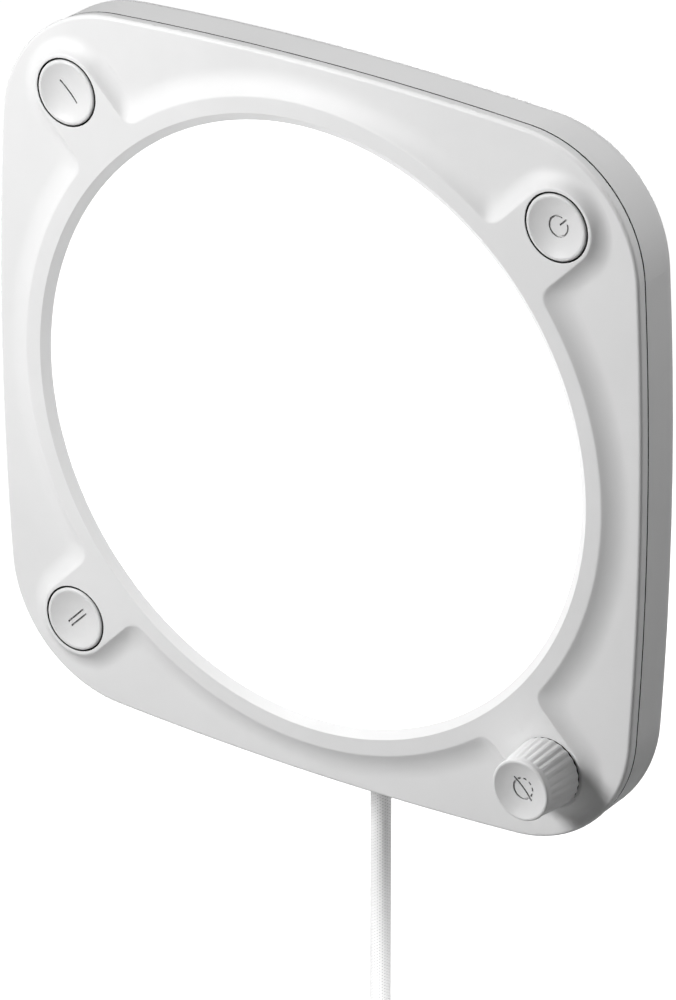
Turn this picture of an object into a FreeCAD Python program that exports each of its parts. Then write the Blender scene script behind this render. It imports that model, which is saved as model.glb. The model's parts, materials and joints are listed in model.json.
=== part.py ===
import FreeCAD, Part
import math
import os

# Square LED video light panel with a round diffuser, three buttons, a knob and a cord.
# All sizes are in millimetres. X is to the right, Y runs from front to back, Z is up.
# The origin is the mouth of the threaded insert, at the middle of the back.
# Depths are measured back from the raised ring, which is the front-most flat face.

V = FreeCAD.Vector
FRONT_TO_BACK = V(0, 1, 0)
UP = V(0, 0, 1)

# Case, seen from the front
panel_width = 141.1
side_bulge_radius = 700.0
corner_radius = 26.0
front_edge_round = 0.8
window_margin = 10.55
control_inset = 17.55

# Case, from front to back
total_depth = 32.0
ring_height = 1.65
bezel_wall = 1.85
bezel_side_end = 4.05
seam_gap = 0.3
bezel_side_wall = 1.2
bezel_side_draft = 0.3
cable_gap = 1.2
shell_wall = 1.8
shell_side_wall = 2.3
shell_side_draft = 0.2
shell_back_round = 3.8
tongue_wall = 1.0
joint_clearance = 0.15

# Raised ring and its four arms
ring_width = 3.2
window_bevel_depth = 1.15
window_bevel_width = 1.6
window_land = 0.2
ring_flank_width = 5.2
arm_half_width = 7.2
arm_flank_width = 3.2
flank_end_slope = 4.0
flank_overrun = 0.12

# Optical stack
diffuser_thickness = 2.0
gasket_thickness = 0.5
gasket_width = 1.8
flange_thickness = 1.2
radial_clearance = 0.25
seat_width = 2.3
collar_wall = 1.5
collar_gap = 1.5
reflector_depth = 5.65
reflector_wall = 1.2
reflector_lean = 1.6
led_board_thickness = 1.2
led_board_rim = 0.6
sheet_thickness = 0.25
pad_thickness = 0.3
spreader_thickness = 1.0
led_length = 3.5
led_width = 2.8
led_height = 0.8
led_window_clearance = 0.4
led_edge_margin = 5.45
led_ring_pitch = 12.3
led_ring_counts = (24, 18, 12, 6)

# Button caps
cap_radius = 6.28
cap_gap = 0.3
cap_proud = 0.2
cap_rim_round = 0.5
cap_dish_radius = 14.5
cap_rim_width = 0.7
cap_front_wall = 1.6
cap_side_wall = 1.2
cap_flange_radius = 7.3
cap_flange_drop = 1.0
cap_flange_thickness = 0.7
cap_stem_radius = 2.0
cap_key_width = 2.0
cap_key_length = 1.6
cap_stop_gap = 0.1
guide_clearance = 0.3
guide_wall = 0.95
guide_margin = 0.1
button_travel = 0.5

# Engraved symbols
symbol_line = 0.34
symbol_depth = 0.28
single_line_length = 5.3
twin_line_length = 4.9
twin_line_spacing = 1.0
power_symbol_radius = 1.92
power_stroke_length = 2.0
power_stroke_reach = 1.3
power_gap_angle = 46.0
level_symbol_radius = 2.0
level_line_length = 5.4
level_ray_count = 5
level_ray_angle = 20.0
level_gap_angle = 10.0
rising_line = 45.0
falling_line = 135.0

# Switches and the control board
switch_side = 6.0
switch_height = 3.0
switch_clearance = 0.3
switch_plunger_radius = 1.6
switch_plunger_rise = 0.6
switch_bore_clearance = 0.06
switch_cavity_radius = 2.5
switch_wall = 0.6
dome_radius = 2.3
dome_rise = 0.5
dome_thickness = 0.15
dome_flat_share = 0.45
dome_clearance = 0.1
control_board_thickness = 1.4
control_board_inset = 4.55
control_board_gap = 3.0

# Knob and encoder
knob_base_radius = 6.7
knob_front_radius = 5.95
knob_gap = 0.4
knob_height = 9.3
knob_edge_round = 0.4
knob_dish_radius = 12.0
knob_rim_width = 0.55
knob_wall = 1.3
knob_boss_radius = 4.4
knob_rib_count = 26
knob_groove_depth = 0.13
knob_groove_share = 0.8
knob_groove_start = 0.25
knob_smooth_band = 1.3
knob_travel = 0.3
shaft_radius = 3.0
shaft_flat = 1.5
shaft_fit_clearance = 0.02
shaft_running_clearance = 0.04
bush_wall = 0.5
bush_clearance = 0.3
bush_top = 0.2
encoder_side = 12.0
encoder_height = 4.8
encoder_wall = 0.6
encoder_cavity_radius = 5.0
rotor_radius = 4.6
rotor_thickness = 1.0
rotor_clearance = 0.15
push_disc_radius = 2.2

# Screws
screw_radius = 1.2
screw_head_radius = 2.2
screw_head_height = 1.2
screw_hole_clearance = 0.2
head_clearance = 0.3
thread_clearance = 0.05
screw_boss_wall = 1.4
screw_floor = 2.2
screw_recess_length = 2.4
screw_recess_width = 0.6
screw_recess_depth = 0.7
case_screw_inset = 8.05
case_screw_spacing = 60.0
case_screw_length = 8.1
board_screw_drop = 12.0
board_screw_step = 4.5
board_screw_length = 5.0
spreader_screw_inset = 5.5
spreader_screw_length = 4.6
hub_screw_inset = 7.5
hub_screw_end_wall = 2.0

# Hub at the back, and the power board in it
hub_radius = 32.0
hub_wall = 2.2
hub_edge_round = 2.0
hub_flat_cut = 0.8
locating_ring_wall = 1.6
locating_ring_height = 1.5
power_board_thickness = 1.2
power_board_gap = 2.3
power_board_hole = 8.0
insert_radius = 4.4
insert_length = 9.5
thread_radius = 3.175
insert_boss_wall = 2.4
insert_groove_depth = 0.4
insert_groove_width = 1.6
cable_window_width = 18.0
cable_window_height = 12.0
cable_inset = 7.5
vent_count = 6
vent_width = 2.0
vent_height = 26.0
vent_hub_gap = 5.0
vent_side_gap = 11.1

# Cables inside the case
ribbon_width = 6.0
ribbon_thickness = 0.3
ribbon_spacing = 5.0
ribbon_slot_margin = 1.0
ribbon_lift = 0.4
connector_width = 7.0
connector_depth = 4.0
connector_height = 3.4
connector_margin = 0.2

# Parts on the boards
inductor_side = 6.0
inductor_height = 3.0
inductor_x = 16.0
inductor_z = 4.0
capacitor_radius = 3.1
capacitor_height = 5.4
capacitor_pitch = 9.0
capacitor_z = 19.5
chip_length = 5.0
chip_width = 4.0
chip_height = 1.5
driver_chip_z = -5.5
controller_side = 7.0

# Power socket and the plug in it, on the cord's line
cord_inset = 8.2
socket_width = 8.94
socket_thickness = 3.26
socket_wall = 0.3
socket_length = 7.2
socket_clearance = 0.2
socket_back = 1.5
tongue_width = 6.69
tongue_thickness = 0.7
tongue_reach = 5.2
plug_shell_width = 8.25
plug_shell_thickness = 2.4
plug_shell_wall = 0.3
plug_insertion = 5.6
plug_gap = 0.5
overmould_width = 12.2
overmould_thickness = 6.4
overmould_length = 19.3
overmould_round = 1.5
relief_length = 11.0
relief_top_radius = 3.0
relief_end_radius = 2.4
relief_ring_count = 4
relief_ring_depth = 0.5
relief_ring_width = 1.1

# Cord: it hangs straight down, and the length below is put away in a tied coil
cord_diameter = 3.9
cord_bend_z = -140.0
cord_bend_angle = 22.5
cord_upper_run = 20.0
cord_lower_run = 12.9
coil_outer_radius = 27.6
coil_pitch = 4.45
coil_layer_count = 4
coil_turn_count = 10.125
coil_entry_angle = 135.0
coil_tail = 12.0
tie_width = 9.0
tie_thickness = 1.2
tie_clearance = 0.35
tie_corner_round = 3.0

# Plug at the far end
far_relief_length = 7.0
far_relief_top_radius = 3.0
far_overmould_width = 15.6
far_overmould_thickness = 7.8
far_overmould_length = 21.0
far_shell_width = 12.0
far_shell_thickness = 4.5
far_shell_wall = 0.3
far_shell_length = 12.0
far_insert_thickness = 1.9
far_insert_recess = 0.6

# Places across the front that follow from the sizes above
panel_half = panel_width / 2
window_radius = panel_half - window_margin
ring_outer_radius = window_radius + ring_width
control_offset = panel_half - control_inset
diffuser_radius = window_radius - window_bevel_width + seat_width
seat_radius = diffuser_radius + radial_clearance
collar_radius = seat_radius + collar_wall
reflector_front_radius = diffuser_radius - gasket_width - reflector_wall / 2
reflector_back_radius = reflector_front_radius - reflector_lean
sheet_radius = reflector_back_radius - radial_clearance
led_board_radius = reflector_back_radius + reflector_wall + led_board_rim
led_ring_radius = sheet_radius - led_edge_margin
control_board_half = panel_half - control_board_inset
control_board_window = led_board_radius + control_board_gap
board_screw_boss_radius = screw_radius + screw_boss_wall
power_board_radius = hub_radius - hub_wall - power_board_gap
bush_radius = shaft_radius + shaft_running_clearance + bush_wall
knob_hole_radius = bush_radius + bush_clearance
cord_radius = cord_diameter / 2

# Depths, from front to back
valley_depth = ring_height
bezel_inner_face = valley_depth + bezel_wall
shell_front = bezel_side_end + seam_gap
diffuser_depth = window_bevel_depth + window_land
diffuser_back = diffuser_depth + diffuser_thickness
gasket_back = diffuser_back + gasket_thickness
led_board_depth = gasket_back + reflector_depth
collar_end = led_board_depth - collar_gap
led_board_back = led_board_depth + led_board_thickness
pad_back = led_board_back + pad_thickness
spreader_back = pad_back + spreader_thickness
shell_inner_back = spreader_back + cable_gap
case_depth = shell_inner_back + shell_wall
case_screw_seat = case_depth - screw_head_height - screw_hole_clearance
case_screw_split = case_screw_seat - screw_floor
cap_front = -cap_proud
cap_flange_depth = bezel_inner_face + cap_flange_drop
cap_back = cap_flange_depth + cap_flange_thickness
guide_end = cap_back + button_travel + guide_margin
switch_top = cap_back + button_travel + switch_clearance
plunger_top = switch_top - switch_plunger_rise
control_board_depth = switch_top + switch_height
control_board_back = control_board_depth + control_board_thickness
dome_top = control_board_depth - switch_wall - dome_rise
knob_back = -knob_gap
knob_front = -knob_height
encoder_top = control_board_depth - encoder_height
rotor_top = encoder_top + encoder_wall + rotor_clearance
rotor_back = rotor_top + rotor_thickness
hub_floor = total_depth - hub_wall
hub_screw_seat = total_depth - screw_head_height - screw_hole_clearance
cord_depth = total_depth - cord_inset
power_board_back = cord_depth - socket_thickness / 2
power_board_front = power_board_back - power_board_thickness

# Heights and places along the cord
socket_face = hub_flat_cut - hub_radius
cable_column = cable_inset - power_board_radius
control_connector_z = -control_board_window - connector_depth / 2 - connector_margin
relief_end_z = socket_face - plug_gap - overmould_length - relief_length
cord_y = -cord_inset
turns_per_layer = coil_turn_count / coil_layer_count

# The controls stand at the corners of a square
controls = {
    "preset_one": (-control_offset, control_offset),
    "power": (control_offset, control_offset),
    "preset_two": (-control_offset, -control_offset),
    "knob": (control_offset, -control_offset),
}
buttons = ("preset_one", "power", "preset_two")


def four_places(x, z):
    return [(sx * x, sz * z) for sx in (-1, 1) for sz in (-1, 1)]


case_screw_places = (four_places(panel_half - case_screw_inset, case_screw_spacing / 2)
                     + four_places(case_screw_spacing / 2, panel_half - case_screw_inset))
board_screw_places = four_places(control_offset + board_screw_step, control_offset - board_screw_drop)
spreader_screw_offset = (led_ring_radius - spreader_screw_inset) * math.sqrt(0.5)
spreader_screw_places = four_places(spreader_screw_offset, spreader_screw_offset)
hub_screw_offset = (hub_radius - hub_screw_inset) * math.sqrt(0.5)
hub_screw_places = four_places(hub_screw_offset, hub_screw_offset)


def at(depth):
    """Y of a depth behind the raised ring."""
    return depth - total_depth


def disc(radius, front, back, x=0.0, z=0.0):
    """Cylinder along Y, from one depth to another."""
    return Part.makeCylinder(radius, back - front, V(x, at(front), z), FRONT_TO_BACK)


def tube(outer, inner, front, back, x=0.0, z=0.0):
    """Hollow cylinder along Y."""
    return disc(outer, front, back, x, z).cut(disc(inner, front - 1, back + 1, x, z))


def block(width, height, front, back, x=0.0, z=0.0, turn=0.0):
    """Box centred on x and z, turned about Y."""
    box = Part.makeBox(width, back - front, height, V(x - width / 2, at(front), z - height / 2))
    box.rotate(V(x, 0, z), FRONT_TO_BACK, turn)
    return box


def arc(start, middle, end):
    return Part.Arc(start, middle, end).toShape()


def turned(path, x=0.0, z=0.0, sweep=360.0, first_turn=0.0):
    """Solid of revolution about a Y axis. A path holds (radius, depth) corners, and a pair of
    them stands for an arc through the first to the second."""
    def point(corner):
        return V(x + corner[0], at(corner[1]), z)

    edges = []
    here = path[0]
    for step in list(path[1:]) + [path[0]]:
        if isinstance(step[0], tuple):
            edges.append(arc(point(here), point(step[0]), point(step[1])))
            here = step[1]
        else:
            edges.append(Part.makeLine(point(here), point(step)))
            here = step
    face = Part.Face(Part.Wire(edges))
    face.rotate(V(x, 0, z), FRONT_TO_BACK, first_turn)
    return face.revolve(V(x, 0, z), FRONT_TO_BACK, sweep)


def corner_centre():
    """Distance of a corner arc's centre from both middle lines, so that it meets the sides smoothly."""
    side_centre = panel_half - side_bulge_radius
    reach = side_bulge_radius - corner_radius
    # Solves (c - side_centre)^2 + c^2 = reach^2 for c
    return (side_centre + math.sqrt(2 * reach ** 2 - side_centre ** 2)) / 2


def rounded_square(half, depth):
    """Outline of the panel, drawn in or out to the given half width, at one depth."""
    inset = panel_half - half
    centre = corner_centre()
    side_centre = panel_half - side_bulge_radius
    radius = corner_radius - inset
    reach = math.hypot(centre - side_centre, centre)
    join = (centre + radius * (centre - side_centre) / reach, centre + radius * centre / reach)
    diagonal = centre + radius * math.sqrt(0.5)
    edges = []
    for turn in range(4):
        def point(u, v):
            for _ in range(turn):
                u, v = -v, u
            return V(u, at(depth), v)
        edges.append(arc(point(join[0], -join[1]), point(half, 0), point(join[0], join[1])))
        edges.append(arc(point(join[0], join[1]), point(diagonal, diagonal), point(join[1], join[0])))
    return Part.Wire(edges)


def square_body(front_half, front, back_half, back):
    """Solid between two panel outlines."""
    return Part.makeLoft([rounded_square(front_half, front), rounded_square(back_half, back)], True, True)


def edges_at(shape, depth, beyond=0.0):
    """Edges that lie in the plane of one depth, wholly outside a radius."""
    found = []
    for edge in shape.Edges:
        box = edge.BoundBox
        flat = abs(box.YMin - at(depth)) < 1e-4 and abs(box.YMax - at(depth)) < 1e-4
        far = all(math.hypot(vertex.X, vertex.Z) > beyond for vertex in edge.Vertexes)
        if flat and far:
            found.append(edge)
    return found


def rounded_rectangle(width, height, corner, place):
    """Closed wire of lines and quarter arcs. place turns flat (u, v) into a point."""
    ends = []
    edges = []
    for index, (su, sv) in enumerate(((1, 1), (-1, 1), (-1, -1), (1, -1))):
        middle = (su * (width / 2 - corner), sv * (height / 2 - corner))
        points = []
        for step in range(3):
            angle = math.radians(90 * index + 45 * step)
            points.append(place(middle[0] + corner * math.cos(angle), middle[1] + corner * math.sin(angle)))
        edges.append(arc(*points))
        ends.append((points[0], points[2]))
    for index in range(4):
        leave = ends[index][1]
        enter = ends[(index + 1) % 4][0]
        if leave.distanceToPoint(enter) > 1e-6:
            edges.append(Part.makeLine(leave, enter))
    return Part.Wire(Part.sortEdges(edges)[0])


def upright_bar(width, thickness, corner, low, high, x, y):
    """Bar along Z with rounded corners. Its width is along X."""
    outline = rounded_rectangle(width, thickness, corner, lambda u, v: V(x + u, y + v, low))
    return Part.Face(outline).extrude(V(0, 0, high - low))


def screw(x, z, seat, length, head_behind=True):
    """Cross-head screw along Y. Its head is behind the seat, or in front of it."""
    if head_behind:
        head = disc(screw_head_radius, seat, seat + screw_head_height, x, z)
        shank = disc(screw_radius, seat - length, seat, x, z)
        face = seat + screw_head_height
        front, back = face - screw_recess_depth, face
    else:
        head = disc(screw_head_radius, seat - screw_head_height, seat, x, z)
        shank = disc(screw_radius, seat, seat + length, x, z)
        face = seat - screw_head_height
        front, back = face, face + screw_recess_depth
    cross = [block(screw_recess_length, screw_recess_width, front, back, x, z, turn) for turn in (45, 135)]
    return head.fuse(shank).cut(cross[0]).cut(cross[1]).removeSplitter()


def flank_steps(width, height):
    """Concave flank as (outward, down) steps: middle of its arc, its foot, and a short overrun."""
    chord = math.hypot(width, height)
    half_angle = math.atan2(height, width) - math.radians(flank_end_slope)
    radius = chord / (2 * math.sin(half_angle))
    sag = radius * (1 - math.cos(half_angle))
    middle = (width / 2 - sag * height / chord, height / 2 + sag * width / chord)
    overrun = (width + flank_overrun, height + flank_overrun * math.tan(math.radians(flank_end_slope)))
    return middle, (width, height), overrun


def flanked_ring():
    """Raised ring round the window, with its concave outer flank."""
    middle, foot, overrun = flank_steps(ring_flank_width, ring_height)
    root = valley_depth + bezel_wall / 2
    edge = ring_outer_radius
    return turned([(window_radius / 2, 0), (edge, 0),
                   ((edge + middle[0], middle[1]), (edge + foot[0], foot[1])),
                   (edge + overrun[0], overrun[1]), (edge + overrun[0], root), (window_radius / 2, root)])


def flanked_arm(x, z):
    """Short raised arm from the ring to a control, with a round end and a concave flank."""
    middle, foot, overrun = flank_steps(arm_flank_width, ring_height)
    root = valley_depth + bezel_wall / 2
    edge = arm_half_width
    heading = math.degrees(math.atan2(z, x))
    half_section = [(0, 0), (edge, 0), ((edge + middle[0], middle[1]), (edge + foot[0], foot[1])),
                    (edge + overrun[0], overrun[1]), (edge + overrun[0], root), (0, root)]
    # A half turn about the control makes the round end
    end = turned(half_section, x, z, 180.0, -90.0 - heading)
    reach = math.hypot(x, z) - window_radius
    inward = V(-x, 0, -z).normalize() * reach
    sides = []
    for face in end.Faces:
        centre = face.CenterOfMass - V(x, 0, z)
        in_section = isinstance(face.Surface, Part.Plane) and abs(face.normalAt(0, 0).dot(inward)) > reach * 0.99
        if in_section and abs(centre.x * x + centre.z * z) < 1e-3 * reach:
            sides.append(face.extrude(inward))
    arm = end
    for side in sides:
        arm = arm.fuse(side)
    return arm.removeSplitter()


def make_front_bezel():
    valley = square_body(panel_half, valley_depth, panel_half - bezel_side_draft, bezel_side_end)
    bezel = valley.makeFillet(front_edge_round, edges_at(valley, valley_depth))
    bezel = bezel.cut(square_body(panel_half - bezel_side_draft - bezel_side_wall, bezel_inner_face,
                                  panel_half - bezel_side_draft - bezel_side_wall, bezel_side_end + 1))
    raised = flanked_ring()
    for place in controls.values():
        raised = raised.fuse(flanked_arm(*place))
    bezel = bezel.fuse(raised)

    root = bezel_inner_face - bezel_wall / 2
    additions = [disc(collar_radius, root, collar_end)]
    for name in buttons:
        guide_outer = cap_flange_radius + guide_clearance + guide_wall
        additions.append(disc(guide_outer, root, guide_end, *controls[name]))
    for place in case_screw_places:
        additions.append(disc(screw_radius + screw_boss_wall, root, case_screw_split, *place))
    for place in board_screw_places:
        additions.append(disc(board_screw_boss_radius, root, control_board_depth, *place))
    bezel = bezel.fuse(additions)

    bevel_slope = window_bevel_width / window_bevel_depth
    window_back_radius = window_radius - window_bevel_width
    cuts = [turned([(0, -1), (window_radius + bevel_slope, -1), (window_back_radius, window_bevel_depth),
                    (window_back_radius, diffuser_depth), (seat_radius, diffuser_depth),
                    (seat_radius, collar_end + 1), (0, collar_end + 1)])]
    stop = cap_flange_depth - cap_stop_gap
    for name in buttons:
        x, z = controls[name]
        cuts.append(disc(cap_radius + cap_gap, -1, stop + 1, x, z))
        cuts.append(disc(cap_flange_radius + guide_clearance, stop, guide_end + 1, x, z))
        slot_reach = cap_flange_radius + cap_key_length + guide_clearance
        cuts.append(key_block(x, z, cap_key_width + 2 * guide_clearance, slot_reach, stop, guide_end + 1))
    cuts.append(disc(knob_hole_radius, -1, bezel_inner_face + 1, *controls["knob"]))
    for place in case_screw_places:
        cuts.append(disc(screw_radius + thread_clearance, bezel_inner_face, case_screw_split + 1, *place))
    for place in board_screw_places:
        cuts.append(disc(screw_radius + thread_clearance, bezel_inner_face, control_board_depth + 1, *place))
    return bezel.cut(cuts).removeSplitter()


def key_block(x, z, width, reach, front, back):
    """Radial block from a control's axis towards the middle of the panel."""
    heading = math.atan2(-z, -x)
    middle = (x + reach / 2 * math.cos(heading), z + reach / 2 * math.sin(heading))
    return block(reach, width, front, back, middle[0], middle[1], -math.degrees(heading))


def make_rear_shell():
    outer_front = panel_half - bezel_side_draft
    outer_back = outer_front - shell_side_draft
    shell = square_body(outer_front, shell_front, outer_back, case_depth)
    shell = shell.makeFillet(shell_back_round, edges_at(shell, case_depth))
    cavity = square_body(outer_front - shell_side_wall, shell_front - 1,
                         outer_back - shell_side_wall, shell_inner_back)
    tongue_outer = outer_front - bezel_side_wall - joint_clearance
    tongue = square_body(tongue_outer, bezel_inner_face + joint_clearance, tongue_outer, shell_front + shell_wall)
    tongue = tongue.cut(square_body(tongue_outer - tongue_wall, bezel_inner_face - 1,
                                    tongue_outer - tongue_wall, case_depth))
    shell = shell.cut(cavity).fuse(tongue)

    root = shell_inner_back + shell_wall / 2
    additions = []
    for place in spreader_screw_places:
        additions.append(disc(screw_radius + screw_boss_wall, spreader_back, root, *place))
    for place in case_screw_places:
        additions.append(disc(screw_radius + screw_boss_wall, case_screw_split, root, *place))
    for place in hub_screw_places:
        additions.append(disc(screw_radius + screw_boss_wall, root, power_board_front, *place))
    ring_outer = hub_radius - hub_wall - radial_clearance
    additions.append(tube(ring_outer, ring_outer - locating_ring_wall, root, case_depth + locating_ring_height))
    shell = shell.fuse(additions)

    cuts = [block(cable_window_width, cable_window_height, shell_inner_back - 1, case_depth + 1, 0, cable_column)]
    for place in spreader_screw_places:
        cuts.append(disc(screw_radius + thread_clearance, spreader_back - 1,
                         spreader_back + spreader_screw_length - spreader_thickness, *place))
    for place in case_screw_places:
        cuts.append(disc(screw_radius + screw_hole_clearance, case_screw_split - 1, case_depth + 1, *place))
        cuts.append(disc(screw_head_radius + head_clearance, case_screw_seat, case_depth + 1, *place))
    for place in hub_screw_places:
        cuts.append(disc(screw_radius + thread_clearance, case_depth, power_board_front + 1, *place))
    vent_pitch = (panel_half - vent_side_gap - hub_radius - vent_hub_gap) / (vent_count - 1)
    for side in (-1, 1):
        for index in range(vent_count):
            cuts.append(vent_slot(side * (hub_radius + vent_hub_gap + index * vent_pitch)))
    return shell.cut(cuts).removeSplitter()


def vent_slot(x):
    """Round-ended upright slot through the back of the rear shell."""
    front = shell_inner_back - 1
    outline = rounded_rectangle(vent_width, vent_height, vent_width / 2, lambda u, v: V(x + u, at(front), v))
    return Part.Face(outline).extrude(V(0, shell_wall + 2, 0))


def make_hub_cover():
    hub = disc(hub_radius, case_depth, total_depth)
    hub = hub.makeFillet(hub_edge_round, edges_at(hub, total_depth))
    hub = hub.cut(disc(hub_radius - hub_wall, case_depth - 1, hub_floor))
    # The flat at the bottom takes the power socket
    below = 2 * hub_radius
    flat = Part.makeBox(below, total_depth + 2, below, V(-hub_radius, at(0) - 1, socket_face - below))
    hub = hub.cut(flat)
    root = hub_floor + hub_wall / 2
    additions = [disc(insert_radius + insert_boss_wall, total_depth - insert_length, root)]
    for place in hub_screw_places:
        additions.append(disc(screw_radius + screw_boss_wall, power_board_back, root, *place))
    hub = hub.fuse(additions)
    mouth = upright_bar(socket_width + 2 * socket_clearance, socket_thickness + 2 * socket_clearance,
                        socket_thickness / 2 + socket_clearance, socket_face - 1, socket_face + hub_wall + 1, 0, cord_y)
    cuts = [disc(insert_radius, hub_floor - insert_length, total_depth + 1), mouth]
    for place in hub_screw_places:
        cuts.append(disc(screw_radius + screw_hole_clearance, power_board_back - 1, total_depth + 1, *place))
        cuts.append(disc(screw_head_radius + head_clearance, hub_screw_seat, total_depth + 1, *place))
    return hub.cut(cuts).removeSplitter()


def make_thread_insert():
    front = total_depth - insert_length
    insert = tube(insert_radius, thread_radius, front, total_depth)
    middle = (front + total_depth) / 2
    # The waist that the plastic grips is left open in the boss
    waist = tube(insert_radius + 1, insert_radius - insert_groove_depth,
                 middle - insert_groove_width / 2, middle + insert_groove_width / 2)
    return insert.cut(waist)


def make_diffuser():
    return disc(diffuser_radius, diffuser_depth, diffuser_back)


def make_gasket():
    return tube(diffuser_radius, diffuser_radius - gasket_width, diffuser_back, gasket_back)


def make_reflector_ring():
    flange_back = gasket_back + flange_thickness
    return turned([(reflector_front_radius, gasket_back), (diffuser_radius, gasket_back),
                   (diffuser_radius, flange_back), (reflector_front_radius + reflector_wall, flange_back),
                   (reflector_back_radius + reflector_wall, led_board_depth),
                   (reflector_back_radius, led_board_depth)])


def led_places():
    """Centre and heading of every LED, ring by ring."""
    places = []
    for ring, count in enumerate(led_ring_counts):
        radius = led_ring_radius - ring * led_ring_pitch
        for index in range(count):
            angle = 360.0 * index / count
            turn = math.radians(angle)
            places.append((radius * math.cos(turn), radius * math.sin(turn), angle))
    return places


def make_leds(first):
    """Every second LED, from the first or the second of them."""
    front = led_board_depth - led_height
    return Part.makeCompound([block(led_length, led_width, front, led_board_depth, x, z, -angle)
                              for x, z, angle in led_places()[first::2]])


def make_reflector_sheet():
    front = led_board_depth - sheet_thickness
    sheet = disc(sheet_radius, front, led_board_depth)
    cuts = [block(led_length + led_window_clearance, led_width + led_window_clearance,
                  front - 1, led_board_depth + 1, x, z, -angle) for x, z, angle in led_places()]
    for place in spreader_screw_places:
        cuts.append(disc(screw_head_radius + head_clearance, front - 1, led_board_depth + 1, *place))
    return sheet.cut(cuts)


def plate_with_screw_holes(radius, front, back, cable_slot):
    plate = disc(radius, front, back)
    cuts = [disc(screw_radius + screw_hole_clearance, front - 1, back + 1, *place)
            for place in spreader_screw_places]
    if cable_slot:
        cuts.append(block(ribbon_width + 2 * ribbon_slot_margin, 2 * ribbon_slot_margin + ribbon_thickness,
                          front - 1, back + 1, -ribbon_spacing, cable_column))
    return plate.cut(cuts)


def make_control_board():
    board = square_body(control_board_half, control_board_depth, control_board_half, control_board_back)
    cuts = [disc(control_board_window, control_board_depth - 1, control_board_back + 1)]
    notch = 2 * (screw_radius + screw_boss_wall + radial_clearance)
    outside = case_screw_inset + notch / 2
    for x, z in case_screw_places:
        # The notch runs from the boss out through the board's edge
        if abs(x) > abs(z):
            middle = math.copysign(panel_half - outside / 2, x)
            cuts.append(block(outside, notch, control_board_depth - 1, control_board_back + 1, middle, z))
        else:
            middle = math.copysign(panel_half - outside / 2, z)
            cuts.append(block(notch, outside, control_board_depth - 1, control_board_back + 1, x, middle))
    for place in board_screw_places:
        cuts.append(disc(screw_radius + screw_hole_clearance, control_board_depth - 1,
                         control_board_back + 1, *place))
    return board.cut(cuts)


def make_switch_housing(name):
    x, z = controls[name]
    housing = block(switch_side, switch_side, switch_top, control_board_depth, x, z, 45)
    bore = disc(switch_plunger_radius + switch_bore_clearance, switch_top - 1, control_board_depth - switch_wall, x, z)
    cavity = disc(switch_cavity_radius, switch_top + switch_wall, control_board_depth - switch_wall, x, z)
    return housing.cut(bore).cut(cavity)


def make_switch_plunger(name):
    """Stepped plunger, whose wider foot keeps it in the housing."""
    x, z = controls[name]
    foot_radius = (switch_plunger_radius + switch_cavity_radius) / 2
    foot_top = switch_top + switch_wall + switch_bore_clearance
    stem = disc(switch_plunger_radius, plunger_top, dome_top - button_travel - dome_clearance, x, z)
    foot = disc(foot_radius, foot_top, foot_top + switch_wall, x, z)
    return stem.fuse(foot).removeSplitter()


def make_snap_domes():
    """Thin flat-topped metal domes on the floor of each switch and of the encoder."""
    floor = dome_top + dome_rise
    flat = dome_radius * dome_flat_share
    path = [(0, dome_top), (flat, dome_top), (dome_radius, floor), (dome_radius - 2 * dome_thickness, floor),
            (flat - dome_thickness / 2, dome_top + dome_thickness), (0, dome_top + dome_thickness)]
    return Part.makeCompound([turned(path, *place) for place in controls.values()])


def ball_dish(radius, rim_radius, front, x, z):
    """Ball whose lowest part hollows a face at the given depth, out to a rim."""
    rise = math.sqrt(radius ** 2 - rim_radius ** 2)
    return Part.makeSphere(radius, V(x, at(front) - rise, z))


def cap_dish_depth():
    """Depth of the dish at the middle of a cap."""
    rim_radius = cap_radius - cap_rim_width
    return cap_front + cap_dish_radius - math.sqrt(cap_dish_radius ** 2 - rim_radius ** 2)


def line_symbol(x, z, length, turn, front, back, across=0.0):
    """Straight engraved line, turned about a control's axis and moved across its own direction."""
    line = block(length, symbol_line, front, back, x, z + across)
    line.rotate(V(x, 0, z), FRONT_TO_BACK, -turn)
    return line


def arc_symbol(x, z, radius, first_angle, last_angle, front, back):
    """Engraved arc about a control's axis, from one angle to another, counter-clockwise from the front."""
    half = symbol_line / 2
    return turned([(radius - half, front), (radius + half, front), (radius + half, back), (radius - half, back)],
                  x, z, first_angle - last_angle, -first_angle)


def make_cap(name):
    x, z = controls[name]
    cap = disc(cap_radius, cap_front, cap_back, x, z)
    cap = cap.fuse(disc(cap_flange_radius, cap_flange_depth, cap_back, x, z))
    cap = cap.fuse(key_block(x, z, cap_key_width, cap_flange_radius + cap_key_length - guide_clearance,
                             cap_flange_depth, cap_back))
    cap = cap.cut(disc(cap_radius - cap_side_wall, cap_front_wall, cap_back + 1, x, z))
    cap = cap.fuse(disc(cap_stem_radius, cap_front_wall - 0.5, plunger_top, x, z)).removeSplitter()
    cap = cap.makeFillet(cap_rim_round, [edge for edge in edges_at(cap, cap_front)])
    cap = cap.cut(ball_dish(cap_dish_radius, cap_radius - cap_rim_width, cap_front, x, z))
    front, back = cap_front - 1, cap_dish_depth() + symbol_depth
    if name == "preset_one":
        symbols = [line_symbol(x, z, single_line_length, falling_line, front, back)]
    elif name == "preset_two":
        symbols = [line_symbol(x, z, twin_line_length, rising_line, front, back, side * twin_line_spacing / 2)
                   for side in (-1, 1)]
    else:
        half_gap = power_gap_angle / 2
        step = power_stroke_reach * math.sqrt(0.5)
        symbols = [arc_symbol(x, z, power_symbol_radius, rising_line + half_gap, rising_line + 360 - half_gap,
                              front, back),
                   line_symbol(x + step, z + step, power_stroke_length, rising_line, front, back)]
    return cap.cut(symbols)


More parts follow.
